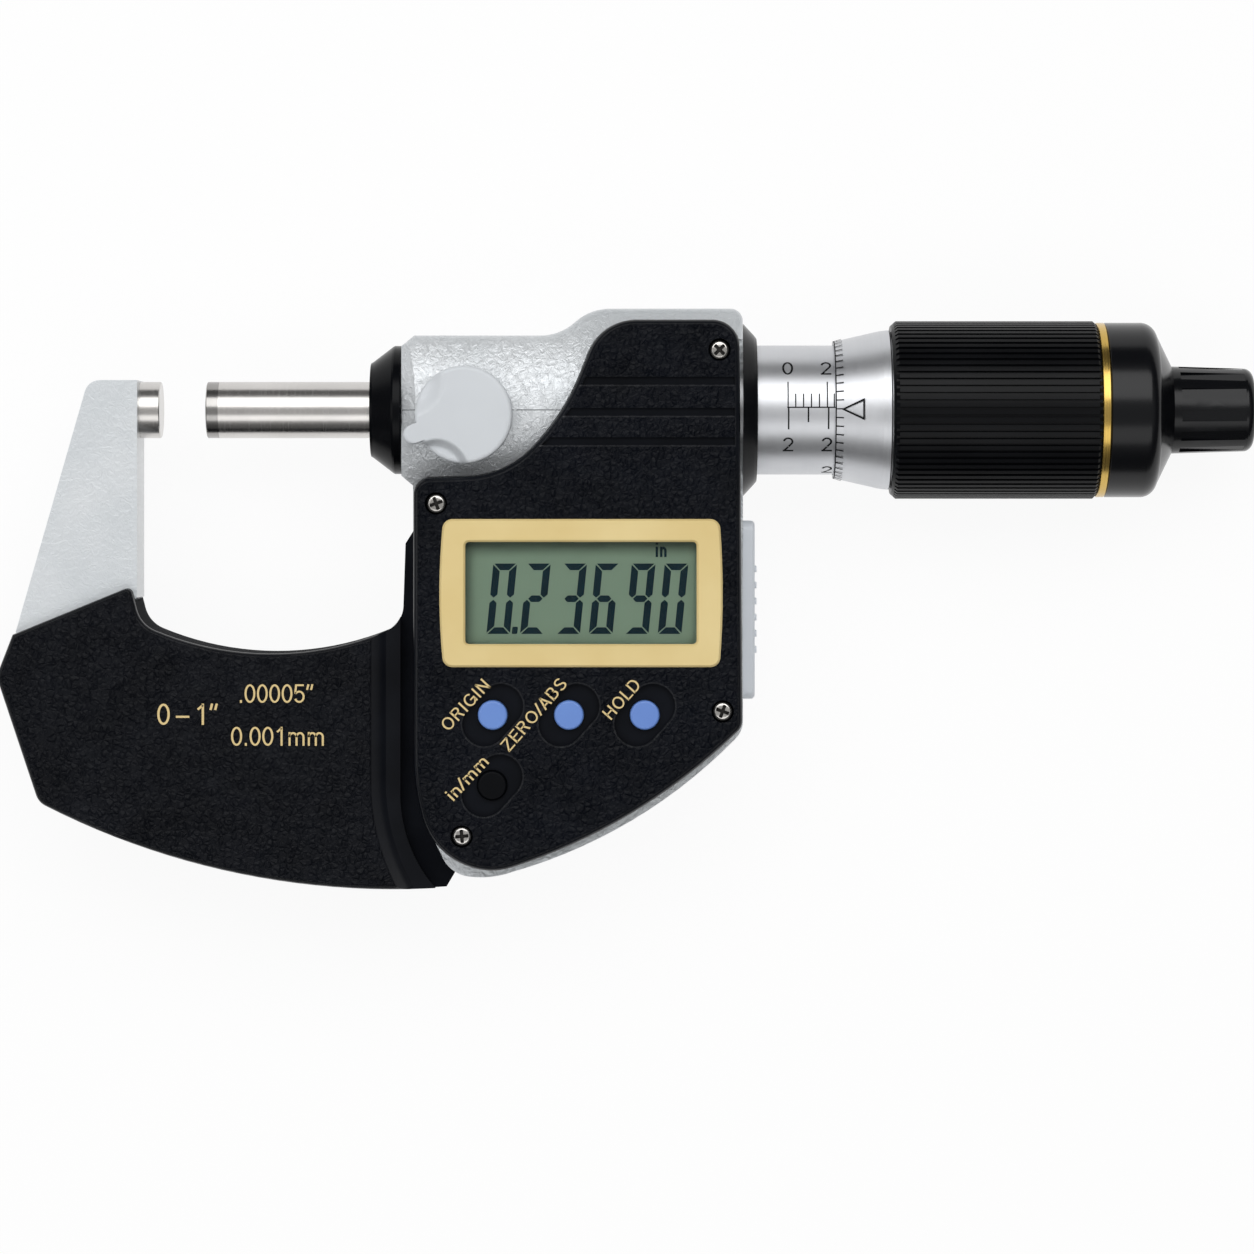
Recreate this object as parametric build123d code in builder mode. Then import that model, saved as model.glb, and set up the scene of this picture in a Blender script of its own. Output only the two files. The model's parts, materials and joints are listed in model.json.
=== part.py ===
from build123d import *
import os

os.makedirs("parts", exist_ok=True)

# Digital outside micrometer, 0 to 25.4 mm, lying on its back.
# Origin: centre of the anvil's measuring face. +X runs along the spindle
# towards the thimble, +Y is up on the dial side, +Z comes out of the display.
# All sizes in millimetres.

# Measuring line
gap = 6.017                # opening between the faces, 0.2369 inch
spindle_r = 3.68
thread_r = 4.06            # crests of the two-start feed thread
run = 0.05                 # radial running clearance
tip_length = 1.6
anvil_seat = -7.4          # inner end of the anvil in the arm

# Frame casting
arm_face = -2.75           # inner face of the anvil arm
arm_top = 3.8
arm_half = 4.75            # half thickness of arm and bow
head_left = 31.67
head_top = 9.5
head_bottom = -8.6
head_front = 9.3
head_mid = 0.45
shoulder_top = 13.0
housing_left = 33.45
housing_right = 75.8
housing_back = -12.0
seat_z = 7.4               # where the display cover's gasket lies
cast_wall = 2.2
pocket_floor = -9.2
shelf_back = -9.3          # back of the head, in front of the raised rear platform
pocket_top = -11.6         # upper edge of the electronics pocket

# Bow covers, two halves that meet at z = 0
cover_half = 6.6
rim_wall = 1.5
bow_gap = 0.15             # between the casting and its covers
step_drop = 0.9
channel_z = 4.0            # floor of the dark channel beside the housing
neck_half = 3.2
step_lean = 66.8           # slope's lean away from upright, degrees

# Display cover
gasket_t = 0.5
front_z = 12.0
cover_wall = 1.5
cover_roof = 10.4
cover_edge = 0.9

# Nose, sleeve and thimble, as distances along X and radii
nose_front = 27.42
sleeve_r = 8.43
sleeve_bore = 6.9
sleeve_start = 68.6
sleeve_end = 111.4
collar_end = 77.7
thimble_front = 87.72
thimble_end = 120.0
grip_start = 95.2
grip_end = 122.0
grip_r = 11.6
grip_bore = 9.7
thimble_tube_r = 9.6
ring_end = 123.1
cap_end = 131.8
knob_end = 142.5
knob_r = 5.7
rib_count = 76
knob_panels = 12
grip_inner_r = 10.4
rib_depth = 0.35
rib_gap = 0.42
seat_r = 3.3               # spindle end that carries thimble and ratchet
ratchet_teeth = 36

# Encoder
encoder_start = 56.5
key_width = 1.0
keyway_mid = 53.6
keyway_length = 30.0

# Clamp
clamp_x = 39.85
clamp_y = -0.8
clamp_r = 6.6
clamp_base = 9.55
clamp_top = 12.9
tab_angle = 201.5
tab_reach = 8.3
clamp_shaft_r = 2.5

# Buttons: origin, zero, hold, unit
button_r = 1.9
button_places = {
    "origin_button": (43.58, -39.35),
    "zero_button": (53.37, -39.35),
    "hold_button": (63.1, -39.35),
    "unit_button": (43.5, -48.4),
}
pocket_tilt = 48.0

# Cover screws
screw_places = [(36.3, -12.2), (72.7, 7.55), (73.1, -38.9), (39.6, -54.95)]
screw_head_r = 1.2
screw_shank_r = 0.7

# Display
bezel_x = (36.75, 73.1)
bezel_y = (-33.2, -14.2)
window_x = (40.06, 69.75)
window_y = (-30.25, -17.14)
window_w = window_x[1] - window_x[0]
window_h = window_y[1] - window_y[0]
board_top = 6.4

# Battery
cell_x = 55.0
cell_y = -44.0
cell_r = 5.8
cell_h = 5.4
well_top = -3.4

# Data outlet
socket_centre = (-26.0, 0.0)   # across Y and Z
socket_w = 13.0
socket_h = 6.4
outlet_y = (-37.6, -14.45)
outlet_t = 1.55
cap_r = 8.0
cap_thread_r = 7.2

# Outlines shared by several pieces


def add_cover_outline():
    """Edge of the display cover: straight at the right, S-shaped over the head."""
    left_top = (33.37, -11.1)
    Line((33.37, -44.5), left_top)
    TangentArc(left_top, (35.65, -8.86), tangent=(0, 1))
    Line((35.65, -8.86), (40.3, -8.74))
    lower = TangentArc((40.3, -8.74), (48.44, -5.23), tangent=(1, 0.026))
    rise = TangentArc(lower @ 1, (55.0, 5.0), tangent=lower % 1)
    Line(rise @ 1, (55.92, 7.3))
    TangentArc((55.92, 7.3), (62.0, 11.42), tangent=(0.92, 2.3))
    Line((62.0, 11.42), (71.8, 11.42))
    TangentArc((71.8, 11.42), (75.3, 7.9), tangent=(1, 0))
    Line((75.3, 7.9), (75.65, -40.0))
    ThreePointArc((75.65, -40.0), (75.45, -40.95), (74.8, -41.74))
    ThreePointArc((74.8, -41.74), (61.0, -52.26), (46.0, -58.99))
    foot = TangentArc((46.0, -58.99), (42.3, -59.3), tangent=(-0.9523, -0.3052))
    corner = TangentArc(foot @ 1, (34.5, -52.5), tangent=foot % 1)
    TangentArc(corner @ 1, (33.37, -44.5), tangent=corner % 1)


def add_housing_outline():
    """Outer wall of the cast housing and head, seen from the front."""
    corner = 1.6
    Line((housing_left, -14.6), (housing_left, -46.0))
    ThreePointArc((housing_left, -46.0), (34.65, -52.4), (36.8, -57.5))
    ThreePointArc((36.8, -57.5), (38.28, -59.56), (40.4, -60.42))
    ThreePointArc((40.4, -60.42), (43.24, -60.45), (46.0, -59.82))
    ThreePointArc((46.0, -59.82), (61.0, -53.42), (74.8, -42.64))
    ThreePointArc((74.8, -42.64), (75.55, -41.55), (housing_right, -40.3))
    Line((housing_right, -40.3), (housing_right, shoulder_top - corner))
    TangentArc(
        (housing_right, shoulder_top - corner), (housing_right - corner, shoulder_top),
        tangent=(0, 1),
    )
    Line((housing_right - corner, shoulder_top), (58.6, shoulder_top))
    upper = TangentArc((58.6, shoulder_top), (54.1, 11.25), tangent=(-1, 0))
    TangentArc(upper @ 1, (49.6, head_top), tangent=upper % 1)
    Polyline(
        (49.6, head_top), (33.3, head_top), (head_left, 8.1), (head_left, head_bottom),
        (33.2, -9.9), (33.2, -12.0), (housing_left, -14.6),
    )


def add_step_region(left, bottom_right):
    """Everything to the right of a line that bends outwards at the bottom."""
    Line((left, -8.0), (left, -49.4))
    ThreePointArc((left, -49.4), (left + 0.9, -55.6), bottom_right)
    Polyline(bottom_right, (bottom_right[0], -70.0), (50.0, -70.0), (50.0, -8.0), (left, -8.0))


# Edge of the bow covers: throat above, long arc below, housing at the right
with BuildSketch() as bow_face:
    peak = (-3.45, -22.95)
    throat_left = (-2.2, -27.8)
    throat_right = (31.7, -27.8)
    horn = (32.05, -17.4)
    heel = (38.45, -60.15)
    toe = (-15.4, -50.9)
    cheek = (-20.85, -34.6)
    with BuildLine():
        Polyline((-18.75, -29.2), peak, throat_left)
        ThreePointArc(throat_left, (15.0, -31.65), throat_right)
        Polyline(throat_right, horn, (33.3, -15.4), (33.3, -46.0))
        ThreePointArc((33.3, -46.0), (34.5, -52.45), (36.66, -57.6))
        Line((36.66, -57.6), heel)
        Line(heel, (37.4, -61.95))
        ThreePointArc((37.4, -61.95), (10.6, -60.15), toe)
        Polyline(toe, cheek, (-18.75, -29.2))
    make_face()
    fillet(bow_face.vertices().sort_by_distance(peak)[0], 0.75)
    fillet(bow_face.vertices().sort_by_distance(throat_left)[0], 4.0)
    fillet(bow_face.vertices().sort_by_distance(throat_right)[0], 3.6)
    fillet(bow_face.vertices().sort_by_distance(toe)[0], 2.4)
    fillet(bow_face.vertices().sort_by_distance(cheek)[0], 2.0)

with BuildSketch() as bow_core:
    add(bow_face.sketch)
    offset(amount=-(rim_wall + bow_gap))
    with BuildLine():
        add_step_region(30.6, (35.0, -62.3))
    make_face(mode=Mode.SUBTRACT)
    with BuildLine():
        Polyline(
            (-4.3, -35.0), (-4.3, -25.6), (arm_face, -24.4), (arm_face, arm_top),
            (-9.1, arm_top), (-18.5, -28.9), (-17.0, -30.4), (-17.0, -35.0), close=True,
        )
    make_face()

# Neck that joins the bow to the housing under the covers' inner edge
with BuildSketch() as neck_face:
    with Locations((31.5, -44.0)):
        Rectangle(5.0, 25.0)

with BuildSketch() as bezel_face:
    bezel_mid_y = sum(bezel_y) / 2
    with BuildLine():
        Line((bezel_x[0] + 0.5, bezel_y[1]), (bezel_x[1] - 0.4, bezel_y[1]))
        ThreePointArc(
            (bezel_x[1] - 0.4, bezel_y[1]), (bezel_x[1], bezel_mid_y), (bezel_x[1] - 0.4, bezel_y[0])
        )
        Line((bezel_x[1] - 0.4, bezel_y[0]), (bezel_x[0] + 0.5, bezel_y[0]))
        ThreePointArc(
            (bezel_x[0] + 0.5, bezel_y[0]), (bezel_x[0], bezel_mid_y), (bezel_x[0] + 0.5, bezel_y[1])
        )
    make_face()
    fillet(bezel_face.vertices(), 1.3)

# Frame casting: arm and bow, barrel-shaped head, deep housing

with BuildPart() as frame:
    with BuildSketch(Plane.XY.offset(-arm_half)):
        add(bow_core.sketch)
    extrude(amount=2 * arm_half)
    arm_corners = frame.edges().filter_by(Axis.Z).group_by(Axis.Y)[-1]
    fillet(arm_corners.sort_by(Axis.X)[0], 2.0)
    with BuildSketch(Plane.XY.offset(-neck_half)):
        add(neck_face.sketch)
    extrude(amount=2 * neck_half)
    with BuildSketch(Plane.XY.offset(shelf_back)):
        with BuildLine():
            add_housing_outline()
        make_face()
    extrude(amount=seat_z - shelf_back)
    # crowned head that carries the spindle, flowing up to the shoulder
    with BuildSketch(Plane.XY):
        with BuildLine():
            add_housing_outline()
        make_face()
        with BuildLine():
            Polyline(
                (20.0, -10.6), (37.0, -10.6), (46.0, -9.0), (60.0, 2.0), (72.0, 9.0),
                (90.0, 9.0), (90.0, 30.0), (20.0, 30.0), close=True,
            )
        make_face(mode=Mode.INTERSECT)
    extrude(amount=head_front + 0.4)
    with BuildSketch(Plane.YZ.offset(head_left - 1.0)):
        with BuildLine():
            ThreePointArc((-10.7, 7.83), (head_mid, head_front), (13.6, 7.24))
            Polyline((13.6, 7.24), (13.6, 15.0), (-10.7, 15.0), (-10.7, 7.83))
        make_face()
    extrude(amount=50.0, mode=Mode.SUBTRACT)
    with BuildSketch(Plane.XZ.offset(-20.0)):
        with BuildLine():
            Polyline(
                (head_left - 1.0, head_front - 2.4), (head_left + 3.0, head_front + 0.9),
                (head_left - 1.0, head_front + 0.9), close=True,
            )
        make_face()
    extrude(amount=40.0, mode=Mode.SUBTRACT)
    top_rim = frame.edges().filter_by(
        lambda e: e.center().Z > 6.5 and e.center().Y > 9.0 and abs((e % 0.5).Z) < 0.5
    )
    fillet(top_rim, 1.3)
    # raised platform on the back, which the instrument lies on
    with BuildSketch(Plane.XY.offset(housing_back)):
        with BuildLine():
            add_cover_outline()
        make_face()
    extrude(amount=5.0)
    fillet(frame.faces().sort_by(Axis.Z)[0].edges(), 1.0)
    # seat for the display cover
    with BuildSketch(Plane.XY.offset(seat_z)):
        with BuildLine():
            add_cover_outline()
        make_face()
        offset(amount=0.12, kind=Kind.INTERSECTION)
    extrude(amount=10.0, mode=Mode.SUBTRACT)
    # electronics pocket, open to the front
    with BuildSketch(Plane.XY.offset(pocket_floor)):
        with BuildLine():
            add_cover_outline()
        make_face()
        offset(amount=-cast_wall)
        with Locations((54.0, 20.0 + pocket_top)):
            Rectangle(60.0, 40.0, mode=Mode.SUBTRACT)
        with Locations((cell_x, cell_y)):
            Circle(cell_r + 1.6, mode=Mode.SUBTRACT)
        with Locations(*screw_places[2:], screw_places[0]):
            Circle(2.2, mode=Mode.SUBTRACT)
    extrude(amount=seat_z - pocket_floor, mode=Mode.SUBTRACT)
    with BuildSketch(Plane.XY.offset(well_top)):
        with Locations((cell_x, cell_y)):
            Circle(cell_r + 1.7)
    extrude(amount=seat_z - well_top + 1.0, mode=Mode.SUBTRACT)
    with BuildSketch(Plane.XY.offset(pocket_floor)):
        with Locations((cell_x, cell_y)):
            Circle(cell_r + 3.4)
    extrude(amount=0.8)
    with BuildSketch(Plane.XY.offset(5.2)):
        with Locations(*screw_places):
            Circle(screw_shank_r + 0.05)
    extrude(amount=4.0, mode=Mode.SUBTRACT)
    # battery well and its threaded mouth at the back
    with BuildSketch(Plane.XY.offset(-9.0)):
        with Locations((cell_x, cell_y)):
            Circle(cell_r + 0.15)
    extrude(amount=7.0, mode=Mode.SUBTRACT)
    with BuildSketch(Plane.XY.offset(-10.7)):
        with Locations((cell_x, cell_y)):
            Circle(cap_thread_r + run)
    extrude(amount=1.8, mode=Mode.SUBTRACT)
    with BuildSketch(Plane.XY.offset(housing_back)):
        with Locations((cell_x, cell_y)):
            Circle(cap_r + 0.15)
    extrude(amount=1.4, mode=Mode.SUBTRACT)
    # bores along the measuring line
    with BuildSketch(Plane.YZ.offset(anvil_seat)):
        Circle(spindle_r)
    extrude(amount=10.0, mode=Mode.SUBTRACT)
    with BuildSketch(Plane.YZ.offset(head_left - 1.0)):
        Circle(5.02)
    extrude(amount=30.0, mode=Mode.SUBTRACT)
    with BuildSketch(Plane.YZ.offset(encoder_start)):
        Circle(sleeve_r + 0.03)
    extrude(amount=25.0, mode=Mode.SUBTRACT)
    # clamp bore, from the front down to the guide bush
    with BuildSketch(Plane.XY.offset(3.0)):
        with Locations((clamp_x, clamp_y)):
            Circle(clamp_shaft_r + run)
    extrude(amount=8.0, mode=Mode.SUBTRACT)
    # socket for the data cable in the right wall
    with BuildSketch(Plane.YZ.offset(72.0)):
        with Locations(socket_centre):
            RectangleRounded(socket_w, socket_h, 1.0)
    extrude(amount=8.0, mode=Mode.SUBTRACT)
frame.part.label = "frame"
export_step(frame.part, "parts/frame.step")

# Measuring faces

with BuildPart() as anvil:
    with BuildSketch(Plane.YZ.offset(anvil_seat)):
        Circle(spindle_r)
    extrude(amount=-anvil_seat - tip_length)
anvil.part.label = "anvil"
export_step(anvil.part, "parts/anvil.step")

with BuildPart() as anvil_tip:
    with BuildSketch(Plane.YZ.offset(-tip_length)):
        Circle(spindle_r)
    extrude(amount=tip_length)
    chamfer(anvil_tip.edges().sort_by(Axis.X)[-1], 0.12)
anvil_tip.part.label = "anvil_tip"
export_step(anvil_tip.part, "parts/anvil_tip.step")

with BuildPart() as spindle:
    with BuildSketch(Plane.XY):
        with BuildLine():
            Polyline(
                (gap + tip_length, 0.0), (gap + tip_length, spindle_r), (83.0, spindle_r),
                (84.0, thread_r), (118.0, thread_r), (118.2, seat_r), (124.0, seat_r),
                (124.0, 0.0), close=True,
            )
        make_face()
    revolve(axis=Axis.X)
    # keyway that lets the encoder turn with the spindle and slide along it
    with BuildSketch(Plane.XY.offset(-spindle_r - 1.0)):
        with Locations((keyway_mid, 0.0)):
            SlotOverall(keyway_length, key_width + 0.1)
    extrude(amount=1.9, mode=Mode.SUBTRACT)
    with BuildSketch(Plane.YZ.offset(116.5)):
        Circle(1.5)
    extrude(amount=10.0, mode=Mode.SUBTRACT)
spindle.part.label = "spindle"
export_step(spindle.part, "parts/spindle.step")

with BuildPart() as spindle_tip:
    with BuildSketch(Plane.YZ.offset(gap)):
        Circle(spindle_r)
    extrude(amount=tip_length)
    chamfer(spindle_tip.edges().sort_by(Axis.X)[0], 0.12)
spindle_tip.part.label = "spindle_tip"
export_step(spindle_tip.part, "parts/spindle_tip.step")

# Nose: screwed cap with a wiper, and the long guide bush behind it

with BuildPart() as nose_cap:
    with BuildSketch(Plane.XY):
        with BuildLine():
            Polyline(
                (nose_front, 4.1), (nose_front, 6.1), (27.75, 6.3), (30.3, 8.25), (30.55, 8.38),
                (31.4, 8.38), (head_left, 8.15), (head_left, 5.6), (29.9, 5.6), (29.9, 5.0),
                (28.2, 5.0), (28.2, 4.1), close=True,
            )
        make_face()
    revolve(axis=Axis.X)
nose_cap.part.label = "nose_cap"
export_step(nose_cap.part, "parts/nose_cap.step")

with BuildPart() as spindle_wiper:
    with BuildSketch(Plane.XY):
        with BuildLine():
            Polyline((28.2, 3.76), (29.8, 3.76), (29.8, 5.0), (28.2, 5.0), close=True)
        make_face()
    revolve(axis=Axis.X)
spindle_wiper.part.label = "spindle_wiper"
export_step(spindle_wiper.part, "parts/spindle_wiper.step")

with BuildPart() as guide_bush:
    with BuildSketch(Plane.YZ.offset(head_left - 1.4)):
        Circle(5.0)
        Circle(spindle_r + run, mode=Mode.SUBTRACT)
    extrude(amount=encoder_start - head_left + 1.2)
    with BuildSketch(Plane.XY):
        with Locations((clamp_x, clamp_y)):
            Circle(clamp_shaft_r + run)
    extrude(amount=8.0, mode=Mode.SUBTRACT)
guide_bush.part.label = "guide_bush"
export_step(guide_bush.part, "parts/guide_bush.step")

# Encoder: fixed stator, rotor keyed to the spindle, retaining ring

with BuildPart() as encoder_stator:
    with BuildSketch(Plane.YZ.offset(encoder_start + 0.3)):
        Circle(sleeve_r)
        Circle(5.2, mode=Mode.SUBTRACT)
    extrude(amount=1.2)
encoder_stator.part.label = "encoder_stator"
export_step(encoder_stator.part, "parts/encoder_stator.step")

with BuildPart() as encoder_rotor:
    with BuildSketch(Plane.YZ.offset(encoder_start + 1.8)):
        Circle(8.0)
        Circle(spindle_r + run, mode=Mode.SUBTRACT)
    extrude(amount=1.0)
    with BuildSketch(Plane.YZ.offset(encoder_start + 2.8)):
        Circle(5.4)
        Circle(spindle_r + run, mode=Mode.SUBTRACT)
    extrude(amount=5.2)
    # key that reaches into the spindle's keyway
    with BuildSketch(Plane.XY.offset(-spindle_r - 0.6)):
        with Locations((encoder_start + 5.0, 0.0)):
            Circle(key_width / 2)
    extrude(amount=1.3)
encoder_rotor.part.label = "encoder_rotor"
export_step(encoder_rotor.part, "parts/encoder_rotor.step")

with BuildPart() as rotor_retainer:
    with BuildSketch(Plane.YZ.offset(encoder_start + 8.3)):
        Circle(sleeve_r)
        Circle(4.4, mode=Mode.SUBTRACT)
    extrude(amount=1.6)
rotor_retainer.part.label = "rotor_retainer"
export_step(rotor_retainer.part, "parts/rotor_retainer.step")

# Sleeve with its scale, collar against the housing, feed nut at the far end

with BuildPart() as sleeve:
    with BuildSketch(Plane.YZ.offset(sleeve_start)):
        Circle(sleeve_r)
        Circle(sleeve_bore, mode=Mode.SUBTRACT)
    extrude(amount=sleeve_end - sleeve_start)
    chamfer(sleeve.faces().sort_by(Axis.X)[-1].edges(), 0.25)
sleeve.part.label = "sleeve"
export_step(sleeve.part, "parts/sleeve.step")

with BuildPart() as rear_collar:
    with BuildSketch(Plane.XY):
        with BuildLine():
            Polyline(
                (housing_right, sleeve_r + 0.03), (housing_right, 11.45), (77.3, 9.84),
                (collar_end, 9.35), (collar_end, sleeve_r + 0.03), close=True,
            )
        make_face()
    revolve(axis=Axis.X)
rear_collar.part.label = "rear_collar"
export_step(rear_collar.part, "parts/rear_collar.step")

with BuildPart() as feed_nut:
    with BuildSketch(Plane.YZ.offset(103.0)):
        Circle(sleeve_bore - 0.02)
        Circle(thread_r + run, mode=Mode.SUBTRACT)
    extrude(amount=8.2)
    with BuildSketch(Plane.YZ.offset(106.0)):
        with PolarLocations(5.6, 3):
            Rectangle(3.4, 0.5)
    extrude(amount=6.0, mode=Mode.SUBTRACT)
feed_nut.part.label = "feed_nut"
export_step(feed_nut.part, "parts/feed_nut.step")

# Thimble: tapered graduated edge and a long tube under the grip

with BuildPart() as thimble:
    with BuildSketch(Plane.XY):
        with BuildLine():
            Polyline(
                (thimble_front, sleeve_r + 0.09), (thimble_front, 8.86), (thimble_front + 0.15, 8.95),
                (93.3, 10.2), (93.9, 10.32), (grip_start - 0.3, 10.42), (grip_start - 0.15, 10.3),
                (grip_start - 0.15, thimble_tube_r), (thimble_end, thimble_tube_r),
                (thimble_end, seat_r + 0.02), (118.25, seat_r + 0.02), (118.25, sleeve_r + 0.09),
                close=True,
            )
        make_face()
    revolve(axis=Axis.X)
thimble.part.label = "thimble"
export_step(thimble.part, "parts/thimble.step")

with BuildPart() as thimble_nut:
    with BuildSketch(Plane.YZ.offset(thimble_end)):
        RegularPolygon(5.4, 6)
        Circle(seat_r + 0.02, mode=Mode.SUBTRACT)
    extrude(amount=2.0)
thimble_nut.part.label = "thimble_nut"
export_step(thimble_nut.part, "parts/thimble_nut.step")

# Ratchet: toothed wheel on the spindle end, sprung pawl ring in the grip

with BuildPart() as ratchet_wheel:
    with BuildSketch(Plane.YZ.offset(thimble_end + 2.2)):
        Circle(6.6)
        with PolarLocations(6.6, ratchet_teeth):
            Triangle(a=0.9, B=90, c=0.75, align=(Align.CENTER, Align.CENTER), mode=Mode.SUBTRACT)
        Circle(seat_r + 0.02, mode=Mode.SUBTRACT)
    extrude(amount=1.7)
ratchet_wheel.part.label = "ratchet_wheel"
export_step(ratchet_wheel.part, "parts/ratchet_wheel.step")

with BuildPart() as pawl_ring:
    with BuildSketch(Plane.YZ.offset(thimble_end + 2.3)):
        Circle(grip_bore)
        Circle(8.6, mode=Mode.SUBTRACT)
        with PolarLocations(7.8, 3):
            Rectangle(2.1, 0.9)
    extrude(amount=1.5)
pawl_ring.part.label = "pawl_ring"
export_step(pawl_ring.part, "parts/pawl_ring.step")

with BuildPart() as ratchet_spring:
    with BuildSketch(Plane.YZ.offset(thimble_end + 3.8)):
        Circle(9.3)
        Circle(8.5, mode=Mode.SUBTRACT)
    extrude(amount=1.8)
ratchet_spring.part.label = "ratchet_spring"
export_step(ratchet_spring.part, "parts/ratchet_spring.step")

# Grip: plastic core, ribbed rubber, bright ring, end cap, small speeder knob

with BuildPart() as grip_core:
    with BuildSketch(Plane.YZ.offset(grip_start)):
        Circle(grip_inner_r)
        Circle(grip_bore, mode=Mode.SUBTRACT)
    extrude(amount=grip_end - grip_start)
grip_core.part.label = "grip_core"
export_step(grip_core.part, "parts/grip_core.step")

with BuildPart() as rubber_grip:
    with BuildSketch(Plane.YZ.offset(grip_start)):
        Circle(grip_r)
        with PolarLocations(grip_r, rib_count):
            Rectangle(2 * rib_depth, rib_gap, mode=Mode.SUBTRACT)
        Circle(grip_inner_r, mode=Mode.SUBTRACT)
    extrude(amount=grip_end - grip_start)
    with BuildSketch(Plane.XY):
        with BuildLine():
            Polyline(
                (grip_start - 0.1, grip_r - 0.7), (grip_start + 0.75, grip_r + 0.05),
                (grip_start - 0.1, grip_r + 0.05), close=True,
            )
        make_face()
        with BuildLine():
            Polyline(
                (grip_end + 0.1, grip_r - 0.5), (grip_end - 0.5, grip_r + 0.05),
                (grip_end + 0.1, grip_r + 0.05), close=True,
            )
        make_face()
    revolve(axis=Axis.X, mode=Mode.SUBTRACT)
rubber_grip.part.label = "rubber_grip"
export_step(rubber_grip.part, "parts/rubber_grip.step")

with BuildPart() as bright_ring:
    with BuildSketch(Plane.YZ.offset(grip_end)):
        Circle(11.4)
        Circle(grip_bore, mode=Mode.SUBTRACT)
    extrude(amount=ring_end - grip_end)
    chamfer(bright_ring.edges().filter_by(GeomType.CIRCLE).sort_by(SortBy.RADIUS)[-2:], 0.12)
bright_ring.part.label = "bright_ring"
export_step(bright_ring.part, "parts/bright_ring.step")

with BuildPart() as end_cap:
    with BuildSketch(Plane.XY):
        with BuildLine():
            Polyline((ring_end, grip_bore), (ring_end, 11.25), (ring_end + 0.15, 11.4))
            Line((ring_end + 0.15, 11.4), (127.9, 11.4))
            ThreePointArc((127.9, 11.4), (129.1, 10.95), (129.8, 9.9))
            Line((129.8, 9.9), (cap_end, 5.85))
            Polyline(
                (cap_end, 5.85), (cap_end, 2.5), (129.2, 2.5), (127.2, 8.4), (126.4, grip_bore),
                (ring_end, grip_bore),
            )
        make_face()
    revolve(axis=Axis.X)
end_cap.part.label = "end_cap"
export_step(end_cap.part, "parts/end_cap.step")

with BuildPart() as speeder_knob:
    with BuildSketch(Plane.XY):
        with BuildLine():
            Line((cap_end, 0.0), (cap_end, knob_r))
            Line((cap_end, knob_r), (knob_end - 1.0, knob_r - 0.3))
            ThreePointArc(
                (knob_end - 1.0, knob_r - 0.3), (knob_end - 0.35, knob_r - 0.65),
                (knob_end, knob_r - 1.45),
            )
            Polyline((knob_end, knob_r - 1.45), (knob_end, 0.0), (cap_end, 0.0))
        make_face()
    revolve(axis=Axis.X)
    with BuildSketch(Plane.YZ.offset(cap_end + 1.0)):
        with PolarLocations(knob_r + 0.1, knob_panels, start_angle=8.5):
            Rectangle(0.9, 1.5)
    extrude(amount=knob_end - cap_end - 2.3, mode=Mode.SUBTRACT)
    with BuildSketch(Plane.YZ.offset(129.3)):
        Circle(2.5)
    extrude(amount=cap_end - 129.3)
    with BuildSketch(Plane.YZ.offset(129.0)):
        Circle(1.5 + run)
    extrude(amount=10.0, mode=Mode.SUBTRACT)
    with BuildSketch(Plane.YZ.offset(133.4)):
        Circle(3.0)
    extrude(amount=12.0, mode=Mode.SUBTRACT)
    with BuildSketch(Plane.YZ.offset(knob_end - 1.0)):
        Circle(3.4)
    extrude(amount=2.0, mode=Mode.SUBTRACT)
speeder_knob.part.label = "speeder_knob"
export_step(speeder_knob.part, "parts/speeder_knob.step")

with BuildPart() as knob_plug:
    with BuildSketch(Plane.YZ.offset(knob_end - 1.0)):
        Circle(3.4)
    extrude(amount=1.0)
knob_plug.part.label = "knob_plug"
export_step(knob_plug.part, "parts/knob_plug.step")

# Shouldered screw in the spindle's end, which holds grip and ratchet on it
with BuildPart() as ratchet_screw:
    with BuildSketch(Plane.YZ.offset(117.0)):
        Circle(1.5)
    extrude(amount=16.5)
    with BuildSketch(Plane.YZ.offset(133.5)):
        Circle(2.9)
    extrude(amount=1.8)
    with BuildSketch(Plane.YZ.offset(134.5)):
        Rectangle(5.8, 0.7)
    extrude(amount=1.0, mode=Mode.SUBTRACT)
ratchet_screw.part.label = "ratchet_screw"
export_step(ratchet_screw.part, "parts/ratchet_screw.step")

# Spindle clamp: scalloped knob with a thumb tab, shaft, brass shoe

with BuildSketch() as tab_face:
    with Locations(Location((clamp_x, clamp_y, 0), (0, 0, tab_angle))):
        with Locations((tab_reach / 2 + 1.4, 0)):
            SlotOverall(tab_reach - 2.8, 2.6)

with BuildPart() as clamp_knob:
    with BuildSketch(Plane.XY.offset(clamp_base)):
        with Locations((clamp_x, clamp_y)):
            Circle(clamp_r)
    extrude(amount=0.5)
    with BuildSketch(Plane.XY.offset(clamp_base + 0.5)):
        with Locations((clamp_x, clamp_y)):
            Circle(clamp_r)
        add(tab_face.sketch)
    extrude(amount=1.2)
    with BuildSketch(Plane.XY.offset(clamp_base + 1.7)):
        with Locations((clamp_x, clamp_y)):
            Circle(clamp_r)
        with Locations((clamp_x - 6.5, clamp_y + 3.6)):
            Circle(4.3, mode=Mode.SUBTRACT)
        with Locations((clamp_x - 3.6, clamp_y - 7.4)):
            Circle(4.4, mode=Mode.SUBTRACT)
        add(tab_face.sketch)
    extrude(amount=clamp_top - clamp_base - 1.7)
    chamfer(clamp_knob.faces().sort_by(Axis.Z)[-1].edges(), 0.35)
clamp_knob.part.label = "clamp_knob"
export_step(clamp_knob.part, "parts/clamp_knob.step")

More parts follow.
